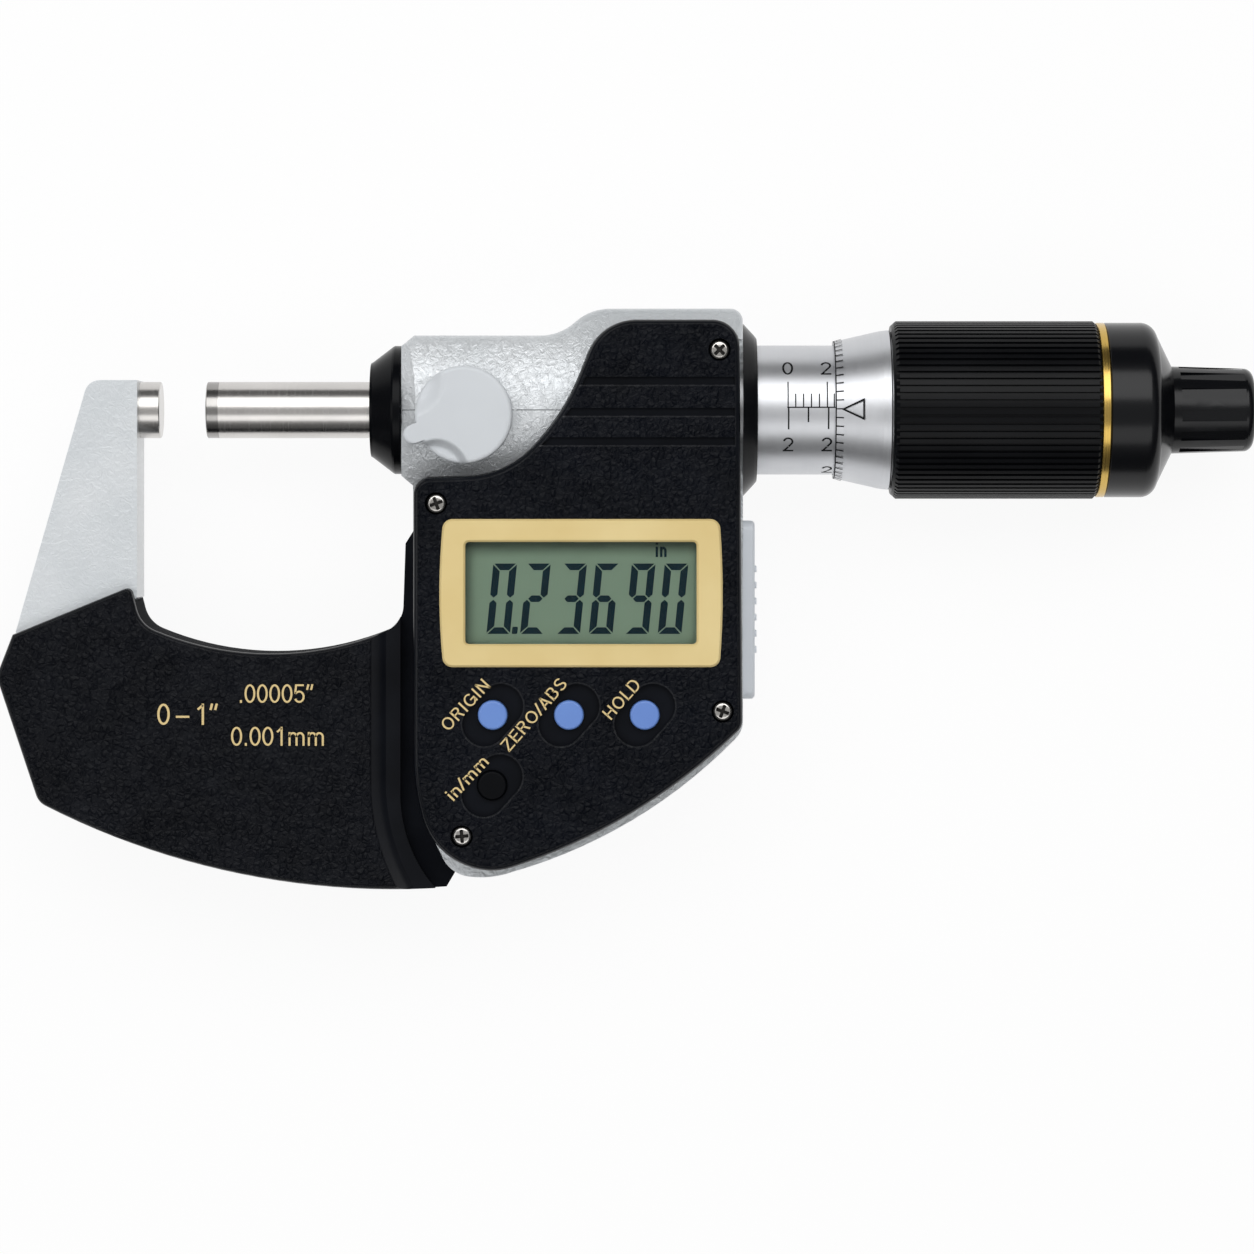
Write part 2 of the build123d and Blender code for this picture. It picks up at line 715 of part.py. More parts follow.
with BuildPart() as clamp_shaft:
    with BuildSketch(Plane.XY.offset(6.4)):
        with Locations((clamp_x, clamp_y)):
            Circle(clamp_shaft_r)
    extrude(amount=clamp_base - 6.4)
clamp_shaft.part.label = "clamp_shaft"
export_step(clamp_shaft.part, "parts/clamp_shaft.step")

with BuildPart() as clamp_shoe:
    with BuildSketch(Plane.XY):
        with Locations((clamp_x, clamp_y)):
            Circle(clamp_shaft_r)
    extrude(amount=6.3)
    with BuildSketch(Plane.YZ.offset(clamp_x - 5.0)):
        Circle(spindle_r + run)
    extrude(amount=10.0, mode=Mode.SUBTRACT)
clamp_shoe.part.label = "clamp_shoe"
export_step(clamp_shoe.part, "parts/clamp_shoe.step")

# Bow covers: two moulded half shells around the casting

with BuildPart() as front_bow_cover:
    with BuildSketch(Plane.XY):
        add(bow_face.sketch)
    extrude(amount=cover_half)
    front_rim = front_bow_cover.faces().sort_by(Axis.Z)[-1].edges()
    fillet(front_rim.filter_by(lambda e: (e @ 0.5).X < 31.9), 0.7)
    # lower band beside the display housing, reached over a slope
    with BuildSketch(Plane.XY.offset(cover_half)):
        with BuildLine():
            add_step_region(27.5, (31.0, -62.3))
        make_face()
    extrude(amount=-step_drop, taper=step_lean, mode=Mode.SUBTRACT)
    with BuildSketch(Plane.XY.offset(channel_z)):
        with BuildLine():
            add_step_region(31.45, (36.2, -62.3))
        make_face()
    extrude(amount=6.0, mode=Mode.SUBTRACT)
    with BuildSketch(Plane.XY):
        add(bow_core.sketch)
        offset(amount=bow_gap)
    extrude(amount=arm_half + 0.1, mode=Mode.SUBTRACT)
    with BuildSketch(Plane.XY):
        add(neck_face.sketch)
        offset(amount=bow_gap)
    extrude(amount=neck_half + 0.1, mode=Mode.SUBTRACT)
front_bow_cover.part.label = "front_bow_cover"
export_step(front_bow_cover.part, "parts/front_bow_cover.step")

with BuildPart() as rear_bow_cover:
    with BuildSketch(Plane.XY.offset(-cover_half)):
        add(bow_face.sketch)
    extrude(amount=cover_half)
    back_rim = rear_bow_cover.faces().sort_by(Axis.Z)[0].edges()
    fillet(back_rim.filter_by(lambda e: (e @ 0.5).X < 31.9), 0.7)
    with BuildSketch(Plane.XY.offset(-arm_half - 0.1)):
        add(bow_core.sketch)
        offset(amount=bow_gap)
    extrude(amount=arm_half + 0.1, mode=Mode.SUBTRACT)
    with BuildSketch(Plane.XY.offset(-neck_half - 0.1)):
        add(neck_face.sketch)
        offset(amount=bow_gap)
    extrude(amount=neck_half + 0.1, mode=Mode.SUBTRACT)
rear_bow_cover.part.label = "rear_bow_cover"
export_step(rear_bow_cover.part, "parts/rear_bow_cover.step")

# Display cover, moulded, with its openings, pockets and ribs

with BuildPart() as display_cover:
    with BuildSketch(Plane.XY.offset(seat_z + gasket_t)):
        with BuildLine():
            add_cover_outline()
        make_face()
    extrude(amount=front_z - seat_z - gasket_t)
    fillet(display_cover.faces().sort_by(Axis.Z)[-1].edges(), cover_edge)
    with BuildSketch(Plane.XY.offset(seat_z + gasket_t)):
        with BuildLine():
            add_cover_outline()
        make_face()
        offset(amount=-cover_wall)
        with Locations(*screw_places):
            Circle(2.2, mode=Mode.SUBTRACT)
    extrude(amount=cover_roof - seat_z - gasket_t, mode=Mode.SUBTRACT)
    # three shallow grooves beside the head, their left ends on the S-shaped edge
    with BuildSketch(Plane.XY.offset(front_z - 0.7)):
        for top, left, lean in ((4.05, 55.5, 0.45), (0.07, 53.6, 0.75), (-3.7, 50.9, 1.1)):
            with BuildLine():
                Polyline(
                    (left, top), (74.7, top), (74.7, top - 1.0), (left - lean, top - 1.0),
                    close=True,
                )
            make_face()
    extrude(amount=1.0, mode=Mode.SUBTRACT)
    # bezel recess and display opening
    with BuildSketch(Plane.XY.offset(front_z - 1.0)):
        add(bezel_face.sketch)
        offset(amount=0.05)
    extrude(amount=2.0, mode=Mode.SUBTRACT)
    with BuildSketch(Plane.XY.offset(front_z - 3.0)):
        with Locations((sum(window_x) / 2, sum(window_y) / 2)):
            RectangleRounded(window_w + 1.6, window_h + 1.6, 0.8)
    extrude(amount=4.0, mode=Mode.SUBTRACT)
    # slanted finger pockets and the button holes in their floors
    with BuildSketch(Plane.XY.offset(front_z - 0.9)):
        for place in button_places.values():
            with Locations(Location((place[0], place[1], 0), (0, 0, pocket_tilt))):
                SlotOverall(8.8, 5.7)
    extrude(amount=2.0, mode=Mode.SUBTRACT)
    with BuildSketch(Plane.XY.offset(front_z - 3.0)):
        with Locations(*button_places.values()):
            Circle(button_r + 0.08)
    extrude(amount=4.0, mode=Mode.SUBTRACT)
    # screw recesses
    with BuildSketch(Plane.XY.offset(front_z - 1.5)):
        with Locations(*screw_places):
            Circle(screw_head_r + 0.25)
    extrude(amount=2.0, mode=Mode.SUBTRACT)
    with BuildSketch(Plane.XY.offset(seat_z)):
        with Locations(*screw_places):
            Circle(screw_shank_r + 0.05)
    extrude(amount=8.0, mode=Mode.SUBTRACT)
    # room for the top of the sleeve's seat
    with BuildSketch(Plane.YZ.offset(encoder_start)):
        Circle(sleeve_r + 0.06)
    extrude(amount=25.0, mode=Mode.SUBTRACT)
display_cover.part.label = "display_cover"
export_step(display_cover.part, "parts/display_cover.step")

with BuildPart() as cover_gasket:
    with BuildSketch(Plane.XY.offset(seat_z)):
        with BuildLine():
            add_cover_outline()
        make_face()
        offset(amount=-0.25)
    extrude(amount=gasket_t)
    with BuildSketch(Plane.XY.offset(seat_z - 0.1)):
        with BuildLine():
            add_cover_outline()
        make_face()
        offset(amount=-1.35)
    extrude(amount=gasket_t + 0.2, mode=Mode.SUBTRACT)
    with BuildSketch(Plane.YZ.offset(encoder_start)):
        Circle(sleeve_r + 0.06)
    extrude(amount=25.0, mode=Mode.SUBTRACT)
cover_gasket.part.label = "cover_gasket"
export_step(cover_gasket.part, "parts/cover_gasket.step")

for index, place in enumerate(screw_places):
    with BuildPart() as cover_screw:
        with BuildSketch(Plane.XY.offset(front_z - 1.5)):
            with Locations(place):
                Circle(screw_head_r)
        extrude(amount=0.8)
        fillet(cover_screw.edges().sort_by(Axis.Z)[-1], 0.25)
        with BuildSketch(Plane.XY.offset(front_z - 1.15)):
            with Locations(Location((place[0], place[1], 0), (0, 0, 20 + 25 * index))):
                Rectangle(1.3, 0.3)
                Rectangle(0.3, 1.3)
        extrude(amount=0.6, mode=Mode.SUBTRACT)
        with BuildSketch(Plane.XY.offset(5.3)):
            with Locations(place):
                Circle(screw_shank_r)
        extrude(amount=front_z - 1.5 - 5.3)
    cover_screw.part.label = "cover_screw_%d" % (index + 1)
    export_step(cover_screw.part, "parts/cover_screw_%d.step" % (index + 1))

with BuildPart() as display_bezel:
    with BuildSketch(Plane.XY.offset(front_z - 1.0)):
        add(bezel_face.sketch)
        with Locations((sum(window_x) / 2, sum(window_y) / 2)):
            RectangleRounded(window_w, window_h, 0.5, mode=Mode.SUBTRACT)
    extrude(amount=1.35)
    chamfer(display_bezel.faces().sort_by(Axis.Z)[-1].edges(), 0.25)
display_bezel.part.label = "display_bezel"
export_step(display_bezel.part, "parts/display_bezel.step")

with BuildPart() as display_window:
    with BuildSketch(Plane.XY.offset(cover_roof)):
        with Locations((sum(window_x) / 2, sum(window_y) / 2)):
            RectangleRounded(window_w + 1.5, window_h + 1.5, 0.75)
    extrude(amount=0.6)
display_window.part.label = "display_window"
export_step(display_window.part, "parts/display_window.step")

with BuildPart() as lcd_panel:
    with BuildSketch(Plane.XY.offset(8.2)):
        with Locations((sum(window_x) / 2, sum(window_y) / 2)):
            Rectangle(window_w + 2.6, window_h + 2.6)
    extrude(amount=2.1)
lcd_panel.part.label = "lcd_panel"
export_step(lcd_panel.part, "parts/lcd_panel.step")

with BuildPart() as lcd_connectors:
    with BuildSketch(Plane.XY.offset(board_top)):
        with Locations((sum(window_x) / 2, window_y[0] - 0.4), (sum(window_x) / 2, window_y[1] + 0.4)):
            Rectangle(29.0, 1.2)
    extrude(amount=8.2 - board_top)
lcd_connectors.part.label = "lcd_connectors"
export_step(lcd_connectors.part, "parts/lcd_connectors.step")

with BuildPart() as circuit_board:
    with BuildSketch(Plane.XY.offset(board_top - 0.8)):
        with BuildLine():
            add_cover_outline()
        make_face()
        offset(amount=-(cast_wall + 0.3))
        with Locations((54.0, 20.0 + pocket_top - 0.3)):
            Rectangle(60.0, 40.0, mode=Mode.SUBTRACT)
        with Locations(*screw_places):
            Circle(2.5, mode=Mode.SUBTRACT)
    extrude(amount=0.8)
circuit_board.part.label = "circuit_board"
export_step(circuit_board.part, "parts/circuit_board.step")

# Buttons over a rubber key mat

with BuildPart() as key_mat:
    with BuildSketch(Plane.XY.offset(board_top)):
        with Locations((53.4, -39.35)):
            RectangleRounded(26.0, 6.4, 1.5)
        with Locations((43.8, -45.0)):
            RectangleRounded(6.8, 12.0, 1.5)
    extrude(amount=0.5)
    with BuildSketch(Plane.XY.offset(board_top + 0.5)):
        with Locations(*button_places.values()):
            Circle(2.1)
    extrude(amount=8.5 - board_top - 0.5)
key_mat.part.label = "key_mat"
export_step(key_mat.part, "parts/key_mat.step")

for name, place in button_places.items():
    with BuildPart() as button:
        with BuildSketch(Plane.XY.offset(9.3)):
            with Locations(place):
                Circle(button_r + 0.6)
        extrude(amount=0.95)
        with BuildSketch(Plane.XY.offset(10.25)):
            with Locations(place):
                Circle(button_r)
        extrude(amount=(11.95 if name == "unit_button" else 12.15) - 10.25)
        fillet(button.edges().sort_by(Axis.Z)[-1], 0.35)
    button.part.label = name
    export_step(button.part, "parts/" + name + ".step")

# Battery, its spring contact, cap and seal

with BuildPart() as battery:
    with BuildSketch(Plane.XY.offset(-8.9)):
        with Locations((cell_x, cell_y)):
            Circle(cell_r - 0.3)
    extrude(amount=0.8)
    with BuildSketch(Plane.XY.offset(-8.1)):
        with Locations((cell_x, cell_y)):
            Circle(cell_r)
    extrude(amount=cell_h - 0.8)
    fillet(battery.edges().sort_by(Axis.Z)[-1], 0.4)
battery.part.label = "battery"
export_step(battery.part, "parts/battery.step")

with BuildPart() as battery_contact:
    with BuildSketch(Plane.XY.offset(-8.9 + cell_h)):
        with Locations((cell_x, cell_y)):
            Circle(1.5)
    extrude(amount=board_top - 0.8 - cell_h + 8.9)
battery_contact.part.label = "battery_contact"
export_step(battery_contact.part, "parts/battery_contact.step")

with BuildPart() as battery_cap:
    with BuildSketch(Plane.XY.offset(housing_back + 0.1)):
        with Locations((cell_x, cell_y)):
            Circle(cap_r)
    extrude(amount=1.1)
    chamfer(battery_cap.edges().sort_by(Axis.Z)[0], 0.3)
    with BuildSketch(Plane.XY.offset(housing_back + 1.2)):
        with Locations((cell_x, cell_y)):
            Circle(cap_thread_r - 1.2)
    extrude(amount=0.6)
    with BuildSketch(Plane.XY.offset(housing_back + 1.7)):
        with Locations((cell_x, cell_y)):
            Circle(cap_thread_r)
    extrude(amount=1.1)
    # coin slot
    with BuildSketch(Plane.XY.offset(housing_back)):
        with Locations((cell_x, cell_y)):
            Rectangle(11.0, 1.6)
    extrude(amount=0.8, mode=Mode.SUBTRACT)
battery_cap.part.label = "battery_cap"
export_step(battery_cap.part, "parts/battery_cap.step")

with BuildPart() as cap_seal:
    with BuildSketch(Plane.XY.offset(housing_back + 1.25)):
        with Locations((cell_x, cell_y)):
            Circle(7.15)
            Circle(cap_thread_r - 1.15, mode=Mode.SUBTRACT)
    extrude(amount=0.4)
cap_seal.part.label = "cap_seal"
export_step(cap_seal.part, "parts/cap_seal.step")

# Data outlet in the right wall and its pull-off cover

with BuildPart() as data_socket:
    socket_back = board_top - 0.8
    with BuildSketch(Plane.YZ.offset(69.3)):
        with Locations((socket_centre[0], (socket_back - 2.7) / 2)):
            Rectangle(socket_w - 1.5, socket_back + 2.7)
    extrude(amount=3.9)
    with BuildSketch(Plane.YZ.offset(70.6)):
        with Locations(socket_centre):
            Rectangle(socket_w - 3.5, socket_h - 3.4)
    extrude(amount=4.0, mode=Mode.SUBTRACT)
data_socket.part.label = "data_socket"
export_step(data_socket.part, "parts/data_socket.step")

with BuildPart() as outlet_cover:
    with BuildSketch(Plane.YZ.offset(housing_right + 0.05)):
        with Locations(((outlet_y[0] + outlet_y[1]) / 2, socket_centre[1])):
            RectangleRounded(outlet_y[1] - outlet_y[0], 9.4, 1.4)
    extrude(amount=outlet_t)
    chamfer(outlet_cover.faces().sort_by(Axis.X)[-1].edges(), 0.3)
    with BuildSketch(Plane.YZ.offset(housing_right + 0.05 + outlet_t)):
        with Locations((socket_centre[0], socket_centre[1])):
            with GridLocations(2.1, 0, 6, 1):
                RectangleRounded(0.8, 5.6, 0.3)
    extrude(amount=0.28)
    with BuildSketch(Plane.YZ.offset(73.6)):
        with Locations(socket_centre):
            RectangleRounded(socket_w - 0.2, socket_h - 0.2, 0.9)
    extrude(amount=housing_right + 0.05 - 73.6)
outlet_cover.part.label = "outlet_cover"
export_step(outlet_cover.part, "parts/outlet_cover.step")
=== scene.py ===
"""Digital outside micrometer lying on its back: finishes, prints, display, light and camera."""

import bpy
import json
import math
import numpy as np
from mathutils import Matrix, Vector


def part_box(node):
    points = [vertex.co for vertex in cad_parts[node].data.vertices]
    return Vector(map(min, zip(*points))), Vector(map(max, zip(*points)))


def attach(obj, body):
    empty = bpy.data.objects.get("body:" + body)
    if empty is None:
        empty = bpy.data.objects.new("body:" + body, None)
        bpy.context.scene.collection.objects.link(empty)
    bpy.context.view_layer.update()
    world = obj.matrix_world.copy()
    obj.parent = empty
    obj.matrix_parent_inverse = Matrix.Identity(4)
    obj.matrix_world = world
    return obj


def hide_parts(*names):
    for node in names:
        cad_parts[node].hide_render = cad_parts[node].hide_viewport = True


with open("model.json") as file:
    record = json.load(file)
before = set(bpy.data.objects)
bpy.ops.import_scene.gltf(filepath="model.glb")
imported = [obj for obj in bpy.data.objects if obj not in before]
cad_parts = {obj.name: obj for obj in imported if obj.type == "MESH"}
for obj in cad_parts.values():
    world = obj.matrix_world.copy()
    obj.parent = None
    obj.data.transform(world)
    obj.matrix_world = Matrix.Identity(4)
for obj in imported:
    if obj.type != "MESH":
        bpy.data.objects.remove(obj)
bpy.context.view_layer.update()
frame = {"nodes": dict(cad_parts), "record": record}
nodes = frame["nodes"]
MM = 0.001

# Places and sizes in millimetres, in the CAD model's own frame
PANEL_TOP = 10.3
COVER_FRONT = 12.0
BOW_FRONT = 6.6
CROWN_TOP = 9.3
GROUND_LEVEL = -12.02
SLEEVE_R = 8.43
BEVEL_START, BEVEL_END = 87.72, 94.9
BEVEL_R = (8.95, 11.05)
SCREW_PLACES = [(36.3, -12.2), (72.7, 7.55), (73.1, -38.9), (39.6, -54.95)]
# Lower edges of the display cover's three grooves, and where the grooves end on the right
GROOVE_EDGES = (3.05, -0.93, -4.7)
GROOVE_END = 74.7
# Finger pockets: middles, tilt in degrees, half length of the straight sides, radius of the ends
POCKETS = ((43.58, -39.35), (53.37, -39.35), (63.1, -39.35), (43.5, -48.4))
POCKET_TILT = 48.0
POCKET_HALF, POCKET_R = 1.55, 2.85
# Rounding shaded along the grooves' and pockets' edges
LIP_WIDTH, LIP_FALL = 0.25, 0.09
# Barrel shaded over the head: its middle line, half width and flatness, as used in crinkled_paint
BARREL_MIDDLE, BARREL_HALF, BARREL_FLATNESS = 0.4, 10.8, 36.0
# Thickness of the print on flat and on turned pieces
FLAT_INK, TURNED_INK = 0.03, 0.02
# Part of a Noise node's 0 to 1 that its values mostly fill
NOISE_LOW, NOISE_HIGH = 0.3, 0.7


# Materials: helpers

def feed(tree, socket, value):
    """An input socket linked to an output socket, or set to a plain value."""
    if isinstance(value, bpy.types.NodeSocket):
        tree.links.new(value, socket)
    else:
        socket.default_value = value


def make(tree, kind, settings=None, **values):
    """A node of that kind, its settings, and its sockets set or linked by name."""
    node = tree.nodes.new(kind)
    for key, value in (settings or {}).items():
        setattr(node, key, value)
    for label, value in values.items():
        feed(tree, node.inputs[label.replace("_", " ")], value)
    return node


def plain(name, colour, roughness, metallic=0.0, coat=0.0, coat_roughness=0.1, specular=0.5):
    """A material whose values are the same all over; returns (material, tree, shader)."""
    material = bpy.data.materials.new(name)
    material.use_nodes = True
    tree = material.node_tree
    shader = tree.nodes["Principled BSDF"]
    shader.inputs["Base Color"].default_value = (*colour, 1.0)
    shader.inputs["Roughness"].default_value = roughness
    shader.inputs["Metallic"].default_value = metallic
    shader.inputs["Coat Weight"].default_value = coat
    shader.inputs["Coat Roughness"].default_value = coat_roughness
    shader.inputs["Specular IOR Level"].default_value = specular
    return material, tree, shader


def new_group(name, inputs, outputs):
    """A shader node group with named float (f) and vector (v) sockets; returns (group, source, sink)."""
    group = bpy.data.node_groups.new(name, "ShaderNodeTree")
    kinds = {"f": "NodeSocketFloat", "v": "NodeSocketVector"}
    for label, kind, value in inputs:
        socket = group.interface.new_socket(label, in_out="INPUT", socket_type=kinds[kind])
        if value is not None:
            socket.default_value = value
    for label, kind in outputs:
        group.interface.new_socket(label, in_out="OUTPUT", socket_type=kinds[kind])
    return group, group.nodes.new("NodeGroupInput"), group.nodes.new("NodeGroupOutput")


def use(tree, group, **values):
    """A group placed in a material, with its sockets set or linked by name."""
    return make(tree, "ShaderNodeGroup", {"node_tree": group}, **values)


def maths(tree, operation, a, b=0.5, clamp=False):
    """The result of one Math node; a and b are numbers or sockets."""
    node = make(tree, "ShaderNodeMath", {"operation": operation, "use_clamp": clamp})
    feed(tree, node.inputs[0], a)
    feed(tree, node.inputs[1], b)
    return node.outputs[0]


def plus(tree, a, b):
    """a + b."""
    return maths(tree, "ADD", a, b)


def minus(tree, a, b):
    """a - b."""
    return maths(tree, "SUBTRACT", a, b)


def times(tree, a, b):
    """a b."""
    return maths(tree, "MULTIPLY", a, b)


def blend(tree, factor, a, b):
    """The result of one colour Mix node; factor, a and b are values or sockets."""
    node = make(tree, "ShaderNodeMix", {"data_type": "RGBA"})
    for index, value in ((0, factor), (6, a), (7, b)):
        feed(tree, node.inputs[index], value)
    return node.outputs[2]


def ranged(tree, value, low, high, start=NOISE_LOW, end=NOISE_HIGH, smooth=False):
    """A value that runs from start to end, moved to run from low to high and held there beyond."""
    node = make(
        tree, "ShaderNodeMapRange", {"interpolation_type": "SMOOTHSTEP" if smooth else "LINEAR"},
        Value=value, From_Min=start, From_Max=end, To_Min=low, To_Max=high,
    )
    return node.outputs["Result"]


def noise(tree, where, scale, detail, settings=None, **values):
    """The grey value of a Noise node at those coordinates."""
    node = make(
        tree, "ShaderNodeTexNoise", settings, Vector=where, Scale=scale, Detail=detail, **values,
    )
    return node.outputs["Fac"]


def place(tree):
    """The object's own coordinates, in metres."""
    return tree.nodes.new("ShaderNodeTexCoord").outputs["Object"]


def axes(tree, vector):
    """The X, Y and Z sockets of a vector, by name."""
    return make(tree, "ShaderNodeSeparateXYZ", Vector=vector).outputs


def shaded(tree, shader, shade, dark, light):
    """Base colour between dark and light by a noise value."""
    mixed = blend(tree, ranged(tree, shade, 0.0, 1.0), (*dark, 1.0), (*light, 1.0))
    tree.links.new(mixed, shader.inputs["Base Color"])


def bump(tree, shader, height, strength=1.0, distance=1.0):
    """A height times distance, in metres, feeds the shader's normal."""
    node = make(tree, "ShaderNodeBump", Strength=strength, Distance=distance, Height=height)
    tree.links.new(node.outputs["Normal"], shader.inputs["Normal"])


# Materials: shared effects

def leather_grain():
    """Moulded leather grain: cell walls of a warped Voronoi pattern and a finer noise."""
    group, source, sink = new_group(
        "leather_grain",
        [("Place", "v", None), ("Scale", "f", 1300.0)],
        [("Height", "f"), ("Shade", "f")],
    )
    where, warp_reach = source.outputs["Place"], 0.8 * MM
    warp = make(group, "ShaderNodeTexNoise", Vector=where, Scale=700.0, Detail=3.0)
    shift = make(group, "ShaderNodeVectorMath", {"operation": "MULTIPLY_ADD"})
    shift.inputs[1].default_value = (warp_reach, warp_reach, warp_reach)
    group.links.new(warp.outputs["Color"], shift.inputs[0])
    group.links.new(where, shift.inputs[2])
    cells = make(
        group, "ShaderNodeTexVoronoi", {"feature": "DISTANCE_TO_EDGE"},
        Vector=shift.outputs[0], Scale=source.outputs["Scale"],
    )
    walls = maths(group, "MULTIPLY", cells.outputs["Distance"], 3.0, clamp=True)
    pits = noise(group, where, 2600.0, 4.0, Roughness=0.6)
    group.links.new(plus(group, walls, times(group, pits, 0.6)), sink.inputs["Height"])
    group.links.new(noise(group, where, 160.0, 3.0), sink.inputs["Shade"])
    return group


def crinkle_coat():
    """Crinkled enamel: folds from a strongly distorted noise, and thin veins over them."""
    group, source, sink = new_group(
        "crinkle_coat",
        [("Place", "v", None), ("Scale", "f", 1000.0)],
        [("Height", "f"), ("Shade", "f")],
    )
    where, scale = source.outputs["Place"], source.outputs["Scale"]
    folds = noise(group, where, scale, 5.0, Roughness=0.55, Distortion=1.6)
    ridged = {"noise_type": "RIDGED_MULTIFRACTAL"}
    veins = noise(group, where, scale, 3.0, ridged, Distortion=0.8)
    height = plus(group, times(group, folds, 1.3), times(group, veins, 0.12))
    group.links.new(height, sink.inputs["Height"])
    group.links.new(noise(group, where, 70.0, 4.0), sink.inputs["Shade"])
    return group


def turned_lines():
    """Fine turning marks: noise stretched round the spindle axis, so it changes along X only."""
    group, source, sink = new_group(
        "turned_lines",
        [("Place", "v", None), ("Along", "f", 9000.0), ("Across", "f", 40.0)],
        [("Mark", "f"), ("Cloud", "f")],
    )
    where = source.outputs["Place"]
    apart = axes(group, where)
    joined = group.nodes.new("ShaderNodeCombineXYZ")
    for axis, stretch in (("X", "Along"), ("Y", "Across"), ("Z", "Across")):
        scaled = times(group, apart[axis], source.outputs[stretch])
        group.links.new(scaled, joined.inputs[axis])
    group.links.new(noise(group, joined.outputs[0], 1.0, 3.0), sink.inputs["Mark"])
    group.links.new(noise(group, where, 120.0, 4.0), sink.inputs["Cloud"])
    return group


def soft_speckle():
    """Fine even grain of moulded plastic or rubber, with a slow change of shade."""
    group, source, sink = new_group(
        "soft_speckle",
        [("Place", "v", None), ("Scale", "f", 3000.0)],
        [("Height", "f"), ("Shade", "f")],
    )
    where = source.outputs["Place"]
    group.links.new(noise(group, where, source.outputs["Scale"], 2.0), sink.inputs["Height"])
    group.links.new(noise(group, where, 110.0, 3.0), sink.inputs["Shade"])
    return group


def cover_lips():
    """Soft rounding of the display cover's groove and pocket edges, as a height in metres.

    Over the last LIP_WIDTH before an edge the height falls evenly by LIP_FALL: along Y up to each groove's
    lower edge, and towards the rim round each finger pocket. Near is 4 f (1 - f), where f is the share that
    has fallen, so it is 1 halfway down such an edge and 0 away from it.
    """
    group, source, sink = new_group(
        "cover_lips", [("Place", "v", None)], [("Height", "f"), ("Near", "f")],
    )
    apart = axes(group, source.outputs["Place"])
    x, y = apart["X"], apart["Y"]
    inside = ranged(group, x, 1.0, 0.0, GROOVE_END * MM, (GROOVE_END + 0.1) * MM)
    falls = []
    for edge in GROOVE_EDGES:
        fall = ranged(group, y, 0.0, 1.0, (edge - LIP_WIDTH) * MM, edge * MM)
        falls.append(times(group, fall, inside))
    tilt = math.radians(POCKET_TILT)
    for cx, cy in POCKETS:
        dx, dy = minus(group, x, cx * MM), minus(group, y, cy * MM)
        u = plus(group, times(group, dx, math.cos(tilt)), times(group, dy, math.sin(tilt)))
        v = minus(group, times(group, dy, math.cos(tilt)), times(group, dx, math.sin(tilt)))
        past_side = minus(group, maths(group, "ABSOLUTE", u), POCKET_HALF * MM)
        beyond = maths(group, "MAXIMUM", past_side, 0.0)
        squares = plus(group, times(group, beyond, beyond), times(group, v, v))
        away = maths(group, "SQRT", squares)
        falls.append(ranged(group, away, 1.0, 0.0, POCKET_R * MM, (POCKET_R + LIP_WIDTH) * MM))
    total, near = 0.0, 0.0
    for fall in falls:
        total = plus(group, total, fall)
        near = maths(group, "MAXIMUM", near, times(group, fall, minus(group, 1.0, fall)))
    group.links.new(times(group, near, 4.0), sink.inputs["Near"])
    group.links.new(times(group, total, -LIP_FALL * MM), sink.inputs["Height"])
    return group


LEATHER = leather_grain()
CRINKLE = crinkle_coat()
TURNED = turned_lines()
SPECKLE = soft_speckle()
LIPS = cover_lips()


# Materials: finishes

def grained_plastic(name, dark, light, grain_height, level, lips=False):
    """Moulded black cover: grained flat front, glossy rounded rim, dull walls and floors.

    The front lies at level, and the zones below it are told apart by the depth under that level: the grain
    ends from 0.04 to 0.12 mm, the rim's coat from 0.5 to 0.7 mm, and from 0.8 to 1.4 mm the surface turns
    dull. Lengths are in metres, and both faces of a cover are alike.
    """
    soft, dull, rim_coat, lip_coat = 0.32, 0.9, 0.45, 0.7
    material, tree, shader = plain(name, dark, soft, coat_roughness=0.22, specular=0.1)
    grain = use(tree, LEATHER, Place=place(tree))
    shaded(tree, shader, grain.outputs["Shade"], dark, light)
    z = maths(tree, "ABSOLUTE", axes(tree, place(tree))["Z"])
    front = ranged(tree, z, 0.0, 1.0, level - 0.12 * MM, level - 0.04 * MM)
    rim = ranged(tree, z, 0.0, rim_coat, level - 0.7 * MM, level - 0.5 * MM)
    floor = ranged(tree, z, dull, soft, level - 1.4 * MM, level - 0.8 * MM)
    tree.links.new(floor, shader.inputs["Roughness"])
    gloss = times(tree, rim, minus(tree, 1.0, front))
    raised = times(tree, grain.outputs["Height"], grain_height)
    if lips:
        lip = use(tree, LIPS, Place=place(tree))
        raised = plus(tree, raised, lip.outputs["Height"])
        at_lip = times(tree, lip.outputs["Near"], front)
        gloss = maths(tree, "MAXIMUM", gloss, times(tree, at_lip, lip_coat))
    tree.links.new(gloss, shader.inputs["Coat Weight"])
    bump(tree, shader, times(tree, raised, front))
    return material


def smooth_plastic(
    name, dark, light, roughness, grain_height=0.01 * MM, scale=3000.0, coat=0.0, specular=0.5,
):
    """Moulded plastic or rubber with a barely visible even grain."""
    material, tree, shader = plain(name, dark, roughness, coat=coat, specular=specular)
    grain = use(tree, SPECKLE, Place=place(tree), Scale=scale)
    shaded(tree, shader, grain.outputs["Shade"], dark, light)
    bump(tree, shader, grain.outputs["Height"], 0.25, grain_height)
    return material


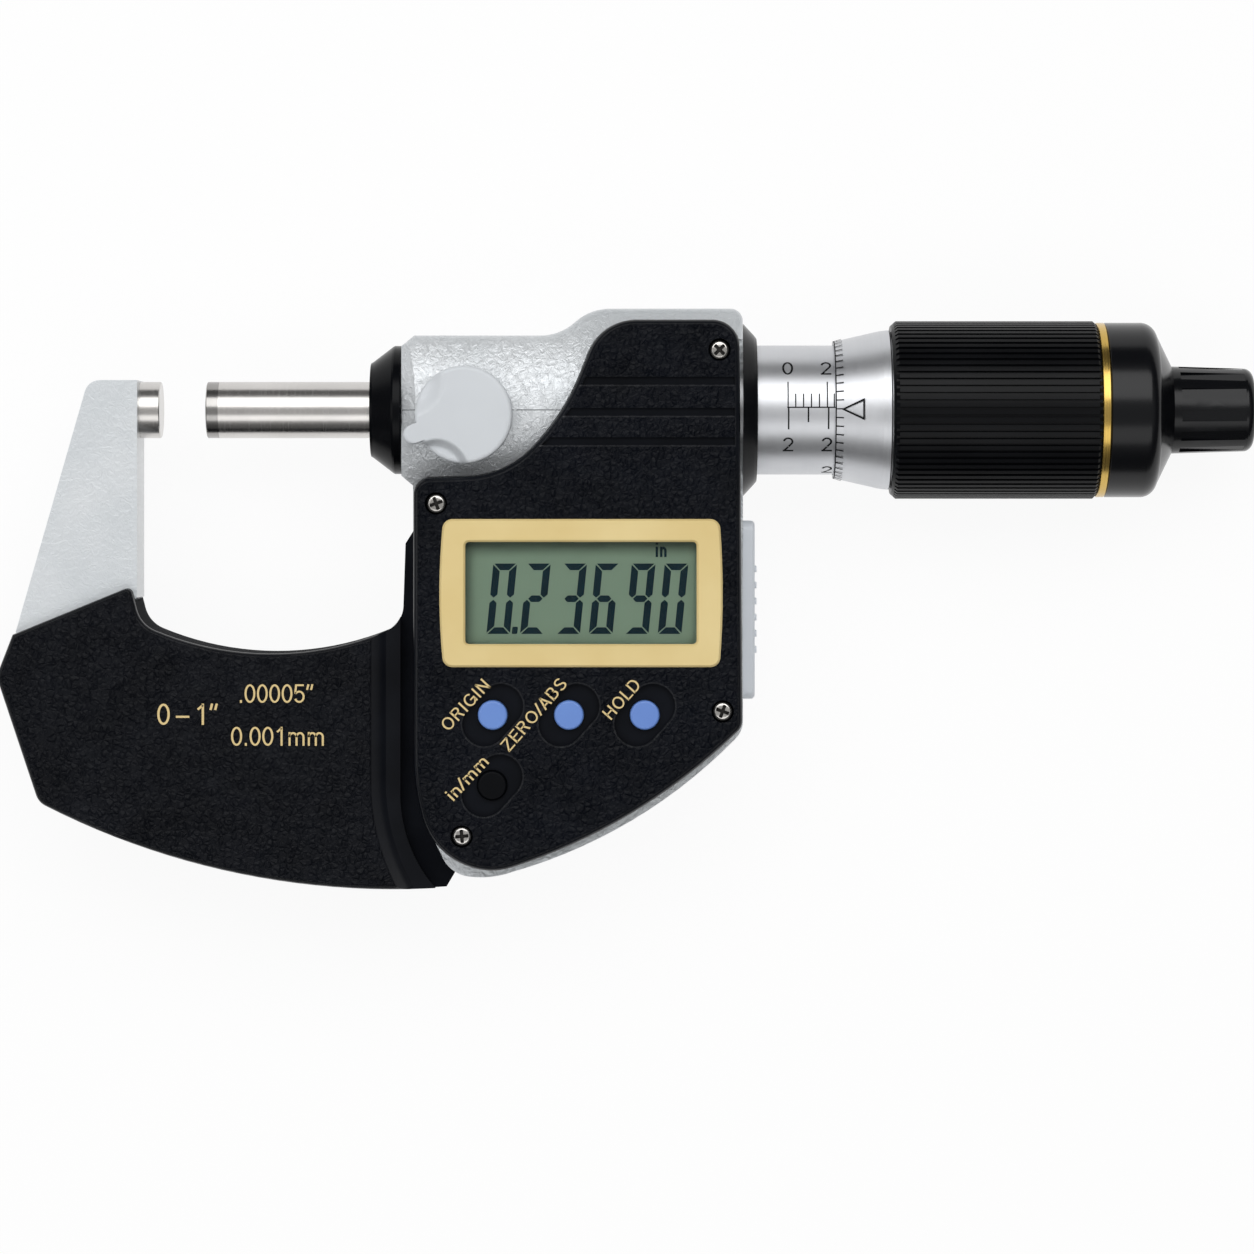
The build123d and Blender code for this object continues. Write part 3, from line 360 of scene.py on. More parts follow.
def crinkled_paint(name, dark, light):
    """Silver enamel, finely crinkled on the arm and more on the head, whose crown is shaded fuller.

    The barrel's part of the bump height is (h^2 - (y - m)^2) / f in millimetres over the head, with the
    middle m, the half width h and the flatness f of BARREL_MIDDLE, BARREL_HALF and BARREL_FLATNESS. It is
    level below the head and fades out along X towards the arm, as the metallic sheen of the paint does.
    """
    fold_height, head_start, head_full = 0.19 * MM, 12.0 * MM, 26.0 * MM
    arm_sheen, head_sheen = 0.1, 0.38
    material, tree, shader = plain(name, light, 0.32, coat=0.45, coat_roughness=0.1)
    coat = use(tree, CRINKLE, Place=place(tree))
    shaded(tree, shader, coat.outputs["Shade"], dark, light)
    apart = axes(tree, place(tree))
    head = ranged(tree, apart["X"], 0.0, 1.0, head_start, head_full)
    sheen = ranged(tree, head, arm_sheen, head_sheen, 0.0, 1.0)
    tree.links.new(sheen, shader.inputs["Metallic"])
    across = maths(tree, "MAXIMUM", apart["Y"], (BARREL_MIDDLE - BARREL_HALF) * MM)
    off_middle = maths(tree, "ABSOLUTE", minus(tree, across, BARREL_MIDDLE * MM))
    rise = minus(tree, (BARREL_HALF * MM) ** 2, maths(tree, "POWER", off_middle, 2.0))
    barrel = times(tree, times(tree, rise, 1.0 / (BARREL_FLATNESS * MM)), head)
    weight = ranged(tree, apart["X"], 0.5, 1.0, 0.0, 30.0 * MM)
    folds = times(tree, times(tree, coat.outputs["Height"], weight), fold_height)
    bump(tree, shader, plus(tree, barrel, folds))
    return material


def turned_metal(name, dark, light, low, high, along=9000.0, depth=0.004 * MM):
    """Metal turned on a lathe: its marks change the roughness from low to high, and are depth deep."""
    material, tree, shader = plain(name, light, low, metallic=1.0)
    marks = use(tree, TURNED, Place=place(tree), Along=along)
    shaded(tree, shader, marks.outputs["Cloud"], dark, light)
    roughness = ranged(tree, marks.outputs["Mark"], low, high)
    tree.links.new(roughness, shader.inputs["Roughness"])
    bump(tree, shader, marks.outputs["Mark"], 0.5, depth)
    return material


def clear_pane(name):
    """Clear window that bends the light only little, as it is thin."""
    material, _, shader = plain(name, (1.0, 1.0, 1.0), 0.02)
    shader.inputs["Transmission Weight"].default_value = 1.0
    shader.inputs["IOR"].default_value = 1.15
    return material


def display_ground(name):
    """Grey-green display, darker towards its upper and left edges where the window frame shades it."""
    in_shade, lit, pale = (0.08, 0.12, 0.085, 1.0), (0.187, 0.272, 0.194, 1.0), (0.225, 0.31, 0.22, 1.0)
    top_edge, below_top, left_edge, past_left = -17.1 * MM, -19.5 * MM, 40.0 * MM, 41.8 * MM
    material, tree, shader = plain(name, (0.22, 0.33, 0.225), 0.55, specular=0.2)
    apart = axes(tree, place(tree))
    from_top = ranged(tree, apart["Y"], 0.0, 1.0, top_edge, below_top, smooth=True)
    from_left = ranged(tree, apart["X"], 0.35, 1.0, left_edge, past_left, smooth=True)
    base = blend(tree, times(tree, from_top, from_left), in_shade, lit)
    cloud = ranged(tree, noise(tree, place(tree), 220.0, 4.0), 0.0, 0.12)
    tree.links.new(blend(tree, cloud, base, pale), shader.inputs["Base Color"])
    return material


# Each row: name, how it is made, its darker and lighter colour, and the values of the maker
FINISH_ROWS = (
    ("frame_paint", crinkled_paint, ((0.65, 0.685, 0.71), (0.77, 0.795, 0.815)), {}),
    ("ground_steel", turned_metal, ((0.60, 0.58, 0.56), (0.68, 0.66, 0.64)),
     dict(low=0.2, high=0.28, along=30000.0, depth=0.0006 * MM)),
    ("carbide", turned_metal, ((0.34, 0.33, 0.32), (0.40, 0.39, 0.38)),
     dict(low=0.18, high=0.24, along=30000.0, depth=0.0004 * MM)),
    ("black_plastic_smooth", smooth_plastic, ((0.0013, 0.0016, 0.0024), (0.0024, 0.0028, 0.0040)),
     dict(roughness=0.24, specular=0.1)),
    ("cap_black", smooth_plastic, ((0.0014, 0.0017, 0.0027), (0.0026, 0.0030, 0.0043)),
     dict(roughness=0.2, specular=0.3)),
    ("black_cover", grained_plastic, ((0.0014, 0.0022, 0.0044), (0.0036, 0.0048, 0.0084)),
     dict(grain_height=0.144 * MM, level=COVER_FRONT * MM, lips=True)),
    ("bow_cover", grained_plastic, ((0.0026, 0.0032, 0.0050), (0.0058, 0.0068, 0.0098)),
     dict(grain_height=0.153 * MM, level=BOW_FRONT * MM)),
    ("seal_rubber", smooth_plastic, ((0.012, 0.012, 0.012), (0.018, 0.018, 0.018)),
     dict(roughness=0.7)),
    ("board", smooth_plastic, ((0.010, 0.09, 0.035), (0.015, 0.12, 0.045)), dict(roughness=0.4)),
    ("brass_part", turned_metal, ((0.60, 0.42, 0.16), (0.70, 0.52, 0.22)), dict(low=0.2, high=0.35)),
    ("satin_chrome", turned_metal, ((0.60, 0.61, 0.635), (0.67, 0.68, 0.70)),
     dict(low=0.34, high=0.42, along=24000.0, depth=0.0015 * MM)),
    ("grip_rubber", smooth_plastic, ((0.0016, 0.0019, 0.0027), (0.0032, 0.0036, 0.0047)),
     dict(roughness=0.32, scale=2600.0, specular=0.14)),
    ("gold_metal", turned_metal, ((0.56, 0.37, 0.09), (0.68, 0.47, 0.14)), dict(low=0.15, high=0.28)),
    ("grey_plastic", smooth_plastic, ((0.64, 0.67, 0.70), (0.68, 0.71, 0.74)), dict(roughness=0.42)),
    # The outlet cover's grey is the clamp's grey plastic made lighter: painted light against the shade of
    # the housing wall.
    ("outlet_grey_lit", smooth_plastic, ((0.76, 0.80, 0.85), (0.80, 0.84, 0.89)), dict(roughness=0.42)),
    ("screw_steel", turned_metal, ((0.50, 0.48, 0.45), (0.66, 0.64, 0.61)),
     dict(low=0.14, high=0.24, depth=0.001 * MM)),
    ("gold_plastic", smooth_plastic, ((0.78, 0.60, 0.26), (0.84, 0.67, 0.32)),
     dict(roughness=0.34, coat=0.2)),
    ("window", clear_pane, (), {}),
    ("lcd", display_ground, (), {}),
    ("blue_key", smooth_plastic, ((0.135, 0.26, 0.66), (0.15, 0.29, 0.70)),
     dict(roughness=0.42, coat=0.2)),
    ("black_key", smooth_plastic, ((0.0012, 0.0016, 0.0026), (0.0024, 0.0029, 0.0040)),
     dict(roughness=0.45, specular=0.08)),
    ("cell", turned_metal, ((0.55, 0.55, 0.54), (0.70, 0.70, 0.68)), dict(low=0.2, high=0.35)),
)
FINISH = {name: maker(name, *colours, **values) for name, maker, colours, values in FINISH_ROWS}
GOLD_PRINT = plain("gold_print", (0.76, 0.58, 0.27), 0.4)[0]
# Black print, also used for the painted shadow ring at the thimble's front edge.
BLACK_PRINT_AND_SHADOW = plain("black_print_and_shadow", (0.006, 0.006, 0.007), 0.5, specular=0.1)[0]
DISPLAY_INK = plain("display_ink", (0.002, 0.016, 0.024), 0.5, specular=0.1)[0]
# Darker steel for the screws' cross recesses: painted shade inside the recess.
SCREW_RECESS_SHADE = plain("screw_recess", (0.03, 0.028, 0.026), 0.35, metallic=0.8)[0]
SHADOW_GREY = plain("shadow_grey", (0.16, 0.17, 0.18), 0.6)[0]

# Nodes that look different from the rest of their material class; the outlet cover's lighter grey is
# painted light
NODE_FINISH = {
    "anvil_tip": "ground_steel", "front_bow_cover": "bow_cover", "rear_bow_cover": "bow_cover",
    "end_cap": "cap_black", "speeder_knob": "cap_black", "outlet_cover": "outlet_grey_lit",
}
slot_of = {row["node"]: row["material_slot"] for row in frame["record"]["subparts"]}
for node, obj in nodes.items():
    obj.data.materials.clear()
    obj.data.materials.append(FINISH[NODE_FINISH.get(node, slot_of[node])])


# New pieces: helpers

def build(name, points, faces, body, material, smooth=False):
    """A mesh object from points in millimetres and a list of faces, riding on a body."""
    mesh = bpy.data.meshes.new(name)
    mesh.from_pydata((np.asarray(points, dtype=float) * MM).tolist(), [], faces)
    mesh.validate()
    mesh.update()
    mesh.polygons.foreach_set("use_smooth", np.full(len(mesh.polygons), smooth))
    mesh.materials.append(material)
    obj = bpy.data.objects.new(name, mesh)
    bpy.context.scene.collection.objects.link(obj)
    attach(obj, body)
    return obj


def gather(parts):
    """Several (points, faces) pairs as one."""
    points, faces, offset = [], [], 0
    for some, theirs in parts:
        points.append(some)
        faces += [tuple(i + offset for i in face) for face in theirs]
        offset += len(some)
    return np.vstack(points), faces


def eased(share):
    """A share from 0 to 1 with level ends: s^2 (3 - 2 s)."""
    return share * share * (3 - 2 * share)


def arc(cx, cy, rx, ry, start, end, steps=16):
    """Points on an ellipse from start to end degrees: (cx + rx cos t, cy + ry sin t)."""
    t = np.radians(np.linspace(start, end, steps + 1))
    return np.column_stack([cx + rx * np.cos(t), cy + ry * np.sin(t)])


def path(*pieces):
    """Points and runs of points joined into one centre line, without the repeats where they meet."""
    line = np.vstack([np.atleast_2d(np.asarray(piece, dtype=float)) for piece in pieces])
    fresh = np.append(True, np.linalg.norm(np.diff(line, axis=0), axis=1) > 0.001)
    return line[fresh]


def glyphs(t):
    """Plain sans-serif figures and letters as centre lines of strokes t wide, capitals 1 high.

    Each entry is (step to the next letter, list of strokes), all in shares of the capitals' height.
    """
    h = t / 2
    top, low, mid = 1 - h, h, 0.52
    x = 0.09 + h
    small = 0.72
    upper, lower = (0.5 * (top + mid), 0.5 * (top - mid)), (0.5 * (low + mid), 0.5 * (mid - low))
    return {
        " ": (0.2, []),
        "O": (0.86, [arc(0.43, 0.5, 0.36 - h, 0.5 - h, 90, 450, 32)]),
        "R": (0.76, [
            [(x, 0), (x, 1)],
            path((x, top), (0.42, top), arc(0.42, upper[0], 0.18, upper[1], 90, -90), (x, mid)),
            [(0.42, mid), (0.62, 0)],
        ]),
        "I": (0.34, [[(0.17, 0), (0.17, 1)]]),
        "G": (0.84, [
            arc(0.43, 0.5, 0.36 - h, 0.5 - h, 42, 336, 28),
            path((0.79 - h, 0.05), (0.79 - h, 0.47), (0.45, 0.47)),
        ]),
        "N": (0.80, [[(x, 0), (x, 1)], [(x, 1), (0.71 - h, 0)], [(0.71 - h, 0), (0.71 - h, 1)]]),
        "Z": (0.68, [
            [(0.05, top), (0.61, top)], [(0.59, top), (0.08, low)], [(0.05, low), (0.63, low)],
        ]),
        "E": (0.68, [
            [(x, 0), (x, 1)], [(x, top), (0.62, top)], [(x, mid), (0.58, mid)], [(x, low), (0.63, low)],
        ]),
        "A": (0.72, [
            [(0.04 + h, 0), (0.36, 1)], [(0.36, 1), (0.68 - h, 0)], [(0.19, 0.3), (0.53, 0.3)],
        ]),
        "B": (0.74, [
            [(x, 0), (x, 1)],
            path((x, top), (0.4, top), arc(0.4, upper[0], 0.17, upper[1], 90, -90), (x, mid)),
            path((x, mid), (0.41, mid), arc(0.41, lower[0], 0.2, lower[1], 90, -90), (x, low)),
        ]),
        "S": (0.72, [
            path(
                arc(0.36, 0.74, 0.27 - h, 0.26 - h, 20, 265, 18),
                arc(0.36, 0.27, 0.29 - h, 0.27 - h, 85, -160, 18),
            ),
        ]),
        "H": (0.78, [[(x, 0), (x, 1)], [(0.69 - h, 0), (0.69 - h, 1)], [(x, mid), (0.69 - h, mid)]]),
        "L": (0.60, [[(x, 0), (x, 1)], [(x, low), (0.57, low)]]),
        "D": (0.80, [
            [(x, 0), (x, 1)],
            path((x, top), (0.36, top), arc(0.36, 0.5, 0.36 - h, 0.5 - h, 90, -90, 24), (x, low)),
        ]),
        "/": (0.38, [[(0.03, 0), (0.35, 1)]]),
        "i": (0.28, [[(0.14, 0), (0.14, small)], [(0.14, 0.86), (0.14, 1)]]),
        "n": (0.62, [
            [(0.08 + h, 0), (0.08 + h, small)],
            path(arc(0.31, 0.45, 0.23 - h, 0.27 - h, 180, 0), (0.54 - h, 0)),
        ]),
        "m": (0.94, [
            [(0.08 + h, 0), (0.08 + h, small)],
            path(arc(0.5 * (0.55 + h), 0.45, 0.5 * (0.39 - h), 0.27 - h, 180, 0), (0.47, 0)),
            path(arc(0.5 * (1.33 - h), 0.45, 0.5 * (0.39 - h), 0.27 - h, 180, 0), (0.86 - h, 0)),
        ]),
        ".": (0.28, [[(0.14, 0), (0.14, 0.15)]]),
        '"': (0.44, [[(0.07, 0.7), (0.14, 1)], [(0.27, 0.7), (0.34, 1)]]),
        "-": (0.62, [[(0.02, 0.38), (0.6, 0.38)]]),
        "0": (0.62, [arc(0.31, 0.5, 0.27 - h, 0.5 - h, 90, 450, 28)]),
        "1": (0.62, [[(0.36, 0), (0.36, 1)], [(0.36, 0.93), (0.14, 0.72)]]),
        "2": (0.62, [
            path(arc(0.31, 0.71, 0.26 - h, 0.29 - h, 170, -30), (0.07 + h, low)),
            [(0.05, low), (0.57, low)],
        ]),
        "4": (0.62, [[(0.42, 0), (0.42, 1)], [(0.42, 0.97), (0.08, 0.3)], [(0.05, 0.27), (0.57, 0.27)]]),
        "5": (0.62, [
            path((0.53, top), (0.14, top), (0.1, 0.5)),
            path((0.1, 0.5), arc(0.3, 0.33, 0.27 - h, 0.33 - h, 125, -155, 20)),
        ]),
        "6": (0.62, [
            arc(0.31, 0.31, 0.26 - h, 0.31 - h, 90, 450, 28),
            path((0.46, top), arc(0.47, 0.33, 0.42 - h, 0.67 - h, 100, 180, 12)),
        ]),
        "8": (0.62, [
            arc(0.31, 0.76, 0.22 - h, 0.24 - h, 90, 450, 24),
            arc(0.31, 0.28, 0.26 - h, 0.28 - h, 90, 450, 28),
        ]),
    }


def ribbon(line, t):
    """A flat stroke t wide along a centre line, w from 0 to 1, with mitred corners: (points, faces).

    Station k lies at line(k) plus and minus t / 2 times the bisector of its two normals, lengthened by
    1 / cos of half the turn there, and no more than 1 / sharpest.
    """
    sharpest = 0.35
    line = np.asarray(line, dtype=float)
    along = np.diff(line, axis=0)
    along /= np.linalg.norm(along, axis=1)[:, None]
    normal = np.column_stack([-along[:, 1], along[:, 0]])
    closed = np.allclose(line[0], line[-1])
    before = np.vstack([normal[-1] if closed else normal[0], normal])
    after = np.vstack([normal, normal[0] if closed else normal[-1]])
    middle = before + after
    middle /= np.linalg.norm(middle, axis=1)[:, None]
    reach = 0.5 * t / np.maximum(np.sum(middle * after, axis=1), sharpest)
    left, right = line + middle * reach[:, None], line - middle * reach[:, None]
    count = len(line)
    rings = np.stack([left, right, right, left], axis=1)
    lift = np.tile([0.0, 0.0, 1.0, 1.0], (count, 1))
    points = np.dstack([rings, lift]).reshape(-1, 3)
    k = 4 * np.arange(count - 1)
    sides = ((0, 1), (1, 2), (2, 3), (3, 0))
    faces = np.vstack([np.column_stack([k + a, k + b, k + 4 + b, k + 4 + a]) for a, b in sides]).tolist()
    if not closed:
        faces += [[3, 2, 1, 0], [4 * count - 4, 4 * count - 3, 4 * count - 2, 4 * count - 1]]
    return points, faces


def letters(text, height, weight):
    """Writing with capitals height tall and strokes weight times that: (points, faces).

    It starts at u = 0 on the line v = 0, with w from 0 to 1.
    """
    table = glyphs(weight)
    parts, start = [], 0.0
    for letter in text:
        step, strokes = table[letter]
        for stroke in strokes:
            points, faces = ribbon(stroke, weight)
            points[:, 0] += start
            parts.append((points, faces))
        start += step
    points, faces = gather(parts)
    points[:, 0] -= points[:, 0].min()
    points[:, :2] *= height
    return points, faces


def on_plane(points, start, z, angle=0.0, stretch=1.0, thickness=FLAT_INK):
    """Print laid on a plane: turned by angle in degrees about its start, then lifted to z."""
    a = math.radians(angle)
    u = points[:, 0] * stretch
    v = points[:, 1]
    return np.column_stack([
        start[0] + u * math.cos(a) - v * math.sin(a),
        start[1] + u * math.sin(a) + v * math.cos(a),
        z + points[:, 2] * thickness,
    ])


def on_turned(points, x, turn, radius, slope):
    """Print wrapped round the spindle axis.

    u runs along X from x, v goes round from turn degrees at the local radius, which grows by slope per
    millimetre of u, and w lifts the print off the surface.
    """
    u, v, w = points.T
    r = radius + slope * u + w * TURNED_INK
    angle = math.radians(turn) + v / radius
    return np.column_stack([x + u, r * np.sin(angle), r * np.cos(angle)])


def prism(outline):
    """A closed flat plate with that outline in u and v, w from 0 to 1: (points, faces)."""
    outline = np.asarray(outline, dtype=float)
    count = len(outline)
    low = np.column_stack([outline, np.zeros(count)])
    high = np.column_stack([outline, np.ones(count)])
    index = np.arange(count)
    after = np.roll(index, -1)
    sides = np.column_stack([index, after, after + count, index + count]).tolist()
    return np.vstack([low, high]), [index[::-1].tolist(), (index + count).tolist()] + sides


def ring_faces(rings, steps):
    """Faces of a closed body: one point, then rings of steps points each, then one last point."""
    j = np.arange(steps)
    k = (j + 1) % steps
    faces = np.column_stack([np.zeros(steps, dtype=int), 1 + j, 1 + k]).tolist()
    for i in range(rings - 1):
        a, b = 1 + i * steps, 1 + (i + 1) * steps
        faces += np.column_stack([a + j, b + j, b + k, a + k]).tolist()
    last = 1 + (rings - 1) * steps
    end = np.full(steps, last + steps)
    return faces + np.column_stack([last + j, end, last + k]).tolist()


# Display: seven-segment figures, decimal point and unit

def segment_outlines(width, height, stroke, gap):
    """Seven mitred bars of a figure, as outlines from the lower left corner, keyed a to g."""
    w, h, s, g = width, height, stroke, gap
    m = h / 2
    half = s / 2
    slim = 0.46 * s
    upper_left = [
        (0, h - g), (s, h - s - g * 0.6), (s, m + slim + g * 0.9), (half, m + g), (0, m + slim + g * 0.9),
    ]
    lower_left = [
        (0, g), (s, s + g * 0.6), (s, m - slim - g * 0.9), (half, m - g), (0, m - slim - g * 0.9),
    ]
    return {
        "a": [(g, h), (w - g, h), (w - s - g * 0.2, h - s * 0.92), (s + g * 0.2, h - s * 0.92)],
        "d": [(g, 0), (w - g, 0), (w - s - g * 0.2, s * 0.92), (s + g * 0.2, s * 0.92)],
        "g": [
            (half + g, m), (s + g * 0.6, m + slim), (w - s - g * 0.6, m + slim), (w - half - g, m),
            (w - s - g * 0.6, m - slim), (s + g * 0.6, m - slim),
        ],
        "f": upper_left,
        "b": [(w - u, v) for u, v in upper_left],
        "e": lower_left,
        "c": [(w - u, v) for u, v in lower_left],
    }


def show_reading():
    """The reading as thin plates of ink just over the display panel.

    The figures and the point lean: u moves along by 0.1 v.
    """
    ink_level, base_line, lean = PANEL_TOP + 0.01, -28.98, 0.1
    segments_of = {"0": "abcdef", "2": "abged", "3": "abgcd", "6": "afgecd", "9": "abcdfg"}
    point_start = 45.98
    point_outline = [
        (0.1, 0), (0.62, 0), (0.72, 0.1), (0.74, 0.82), (0.64, 0.92), (0.12, 0.92), (0.02, 0.82), (0, 0.1),
    ]
    outlines = segment_outlines(width=3.05, height=9.05, stroke=0.92, gap=0.13)
    plates = []

    def add(outline, start):
        u, v = np.array(outline, dtype=float).T
        area = np.sum(u * np.roll(v, -1) - np.roll(u, -1) * v)
        points, faces = prism(outline if area > 0 else outline[::-1])
        points[:, 0] += lean * points[:, 1]
        plates.append((on_plane(points, (start, base_line), ink_level), faces))

    for figure, start in zip("023690", (42.73, 47.06, 51.72, 55.91, 60.54, 64.77)):
        for segment in segments_of[figure]:
            add(outlines[segment], start)
    add(point_outline, point_start)
    points, faces = gather(plates)
    build("display_reading", points, faces, "frame", DISPLAY_INK)
    points, faces = letters("in", height=1.85, weight=0.17)
    points = on_plane(points, (64.5, -19.1), ink_level)
    build("display_unit", points, faces, "frame", DISPLAY_INK)


show_reading()


# Painted shade along the head's parting line

def head_line():
    """Fine dark line of painted shade in the parting line's crease over the crown of the head, in front of
    and behind the clamp lever.

    On the bevel at the head's left end it follows z = CROWN_TOP + 0.825 (x - 33.58).
    """
    y, width, lift = -0.15, 0.12, 0.012
    bevel_end, bevel_slope = 33.58, 0.825
    parts = []
    for start, end in ((33.6, 46.2), (46.6, 53.4)):
        points, faces = ribbon([(start, y), (end, y)], width)
        parts.append((on_plane(points, (0.0, 0.0), CROWN_TOP - 0.004, thickness=lift), faces))
    points, faces = ribbon([(31.75, y), (33.55, y)], width)
    points[:, 2] = CROWN_TOP + (points[:, 0] - bevel_end) * bevel_slope + 0.01 * points[:, 2]
    parts.append((points, faces))
    points, faces = gather(parts)
    build("head_line", points, faces, "frame", SHADOW_GREY)


head_line()


# Cross-recessed screw heads

def revolved(profile, steps):
    """Points and faces of a closed body turned about its own Z axis.

    Station i at turn t lies at (r_i cos t, r_i sin t, z_i); the first and last stations lie on the axis.
    """
    t = np.linspace(0.0, 2.0 * math.pi, steps, endpoint=False)
    rows = profile[1:-1]
    x = np.outer(rows[:, 0], np.cos(t))
    y = np.outer(rows[:, 0], np.sin(t))
    z = np.repeat(rows[:, 1][:, None], steps, axis=1)
    body = np.stack([x, y, z], axis=-1).reshape(-1, 3)
    points = np.vstack([[0.0, 0.0, profile[0, 1]], body, [0.0, 0.0, profile[-1, 1]]])
    return points, ring_faces(len(rows), steps)


def screw_heads():
    """Round-headed cover screws whose domed tops have a cross-shaped recess.

    The top's height is z = top - 0.16 (r / R)^4 - 0.42 c(r) s(m), where m is the distance to the nearer arm
    of the cross, s falls smoothly from 1 to 0 across the arm's edge, and c ends the arms near the rim.
    """
    head_r, shank_r, head_height, dome, recess = 1.19, 0.7, 0.8, 0.16, 0.42
    arm_half, arm_edge, arm_end, end_edge = 0.2, 0.07, 0.84, 0.16
    first_turn, turn_step = 20.0, 25.0
    for index, (x, y) in enumerate(SCREW_PLACES):
        node = "cover_screw_%d" % (index + 1)
        low, high = (np.array(corner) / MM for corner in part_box(node))
        top = high[2]
        r = np.concatenate([[0.0], np.linspace(0.04, 1.0, 26) * head_r])
        under = top - head_height
        profile = np.vstack([
            np.column_stack([r, top - dome * (r / head_r) ** 4]),
            [(head_r, under), (shank_r, under), (shank_r, low[2]), (0.0, low[2])],
        ])
        points, faces = revolved(profile, 96)
        crown = points[:, 2] > top - 1.25 * dome
        turn = math.radians(first_turn + turn_step * index)
        u = points[:, 0] * math.cos(turn) + points[:, 1] * math.sin(turn)
        v = -points[:, 0] * math.sin(turn) + points[:, 1] * math.cos(turn)
        off_arm = np.minimum(np.abs(u), np.abs(v))
        inside = np.clip((arm_half - off_arm) / arm_edge, 0.0, 1.0)
        ends = np.clip((arm_end - np.hypot(u, v)) / end_edge, 0.0, 1.0)
        points[:, 2] -= crown * recess * eased(inside) * eased(ends)
        points[:, 0] += x
        points[:, 1] += y
        head = build("screw_%d" % (index + 1), points, faces, "frame", FINISH["screw_steel"])
        # The faces down in the cross take the darker steel, as painted shade.
        head.data.materials.append(SCREW_RECESS_SHADE)
        deep = crown & (inside * ends > 0.05)
        head.data.polygons.foreach_set("material_index", [int(deep[face].any()) for face in faces])
        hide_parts(node)


screw_heads()


# Clamp lever

def clamp_lever():
    """The spindle clamp's lever: a disc with a rounded rim, a tab, and two thumb scallops beside the tab.

    Seen from the front, at the angle d from the tab, its edge lies c cos d + sqrt(w^2 - c^2 sin^2 d) from
    the middle round the tab's end, with c the middle of that round end and w its half width, w / sin d
    along the tab's sides, and 6.25 mm elsewhere. The top lies at 12.88 - 0.45 (1 - sqrt(1 - q^2)) - f, with
    q rising from 0 to 1 over the outermost 0.6 mm. f is the deeper of two scallops, each its depth times a
    smooth step from 0 to 1 across its edge, and is 0 on the tab's ridge.
    """
    cx, cy, disc_r, tab_middle, tab_half = 39.85, -0.8, 6.25, 7.0, 1.25
    top, rim_bottom, bottom, rim_width, rim_drop = 12.88, 10.2, 9.57, 0.6, 0.45
    ridge_half, ridge_edge = 1.15, 0.9
    # Middle of each scallop from the disc's middle, its radius, the width of its edge and its depth
    scallops = ((-6.9, 4.1, 4.6, 2.2, 1.0), (-3.9, -7.9, 5.0, 1.3, 1.4))
    tab = math.radians(201.5)
    steps = 360
    t = tab + np.linspace(0.0, 2.0 * math.pi, steps, endpoint=False)
    d = np.abs((t - tab + math.pi) % (2.0 * math.pi) - math.pi)
    root = tab_half ** 2 - (tab_middle * np.sin(d)) ** 2
    round_end = tab_middle * np.cos(d) + np.sqrt(np.maximum(root, 0.0))
    side = tab_half / np.maximum(np.sin(np.minimum(d, 1.2)), 0.01)
    edge = np.where(d < 0.35, np.maximum(disc_r, np.minimum(side, tab_middle + tab_half)), disc_r)
    edge = np.where((root > 0) & (d < 1.0), round_end, edge)
    s = np.concatenate([np.linspace(0.0, 0.9, 44), np.linspace(0.905, 1.0, 16)])[1:]
    r = np.outer(s, edge)
    x, y = r * np.cos(t), r * np.sin(t)
    q = np.clip((rim_width - (edge - r)) / rim_width, 0.0, 1.0)
    off_ridge = np.abs(-x * math.sin(tab) + y * math.cos(tab))
    ridge = np.clip((off_ridge - ridge_half) / ridge_edge, 0.0, 1.0)
    ridge[(x * math.cos(tab) + y * math.sin(tab)) < 0.0] = 1.0
    sunk = np.zeros_like(x)
    for ax, ay, reach, soft, depth in scallops:
        share = np.clip((reach - np.hypot(x - ax, y - ay)) / soft, 0.0, 1.0)
        sunk = np.maximum(sunk, depth * eased(share))
    z = top - rim_drop * (1 - np.sqrt(np.maximum(1 - q ** 2, 0.0))) - sunk * eased(ridge)
    rings = [np.stack([x, y, z], axis=-1)]
    for level in (rim_bottom, bottom):
        rings.append(np.stack([x[-1:], y[-1:], np.full((1, steps), level)], axis=-1))
    grid = np.vstack(rings)
    points = np.vstack([[0.0, 0.0, top], grid.reshape(-1, 3), [0.0, 0.0, bottom]])
    points[:, 0] += cx
    points[:, 1] += cy
    faces = ring_faces(len(grid), steps)
    lever = build("clamp_lever", points, faces, "clamp", FINISH["grey_plastic"], smooth=True)
    lever.data.set_sharp_from_angle(angle=math.radians(40.0))
    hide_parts("clamp_knob")


clamp_lever()


# Prints on the covers

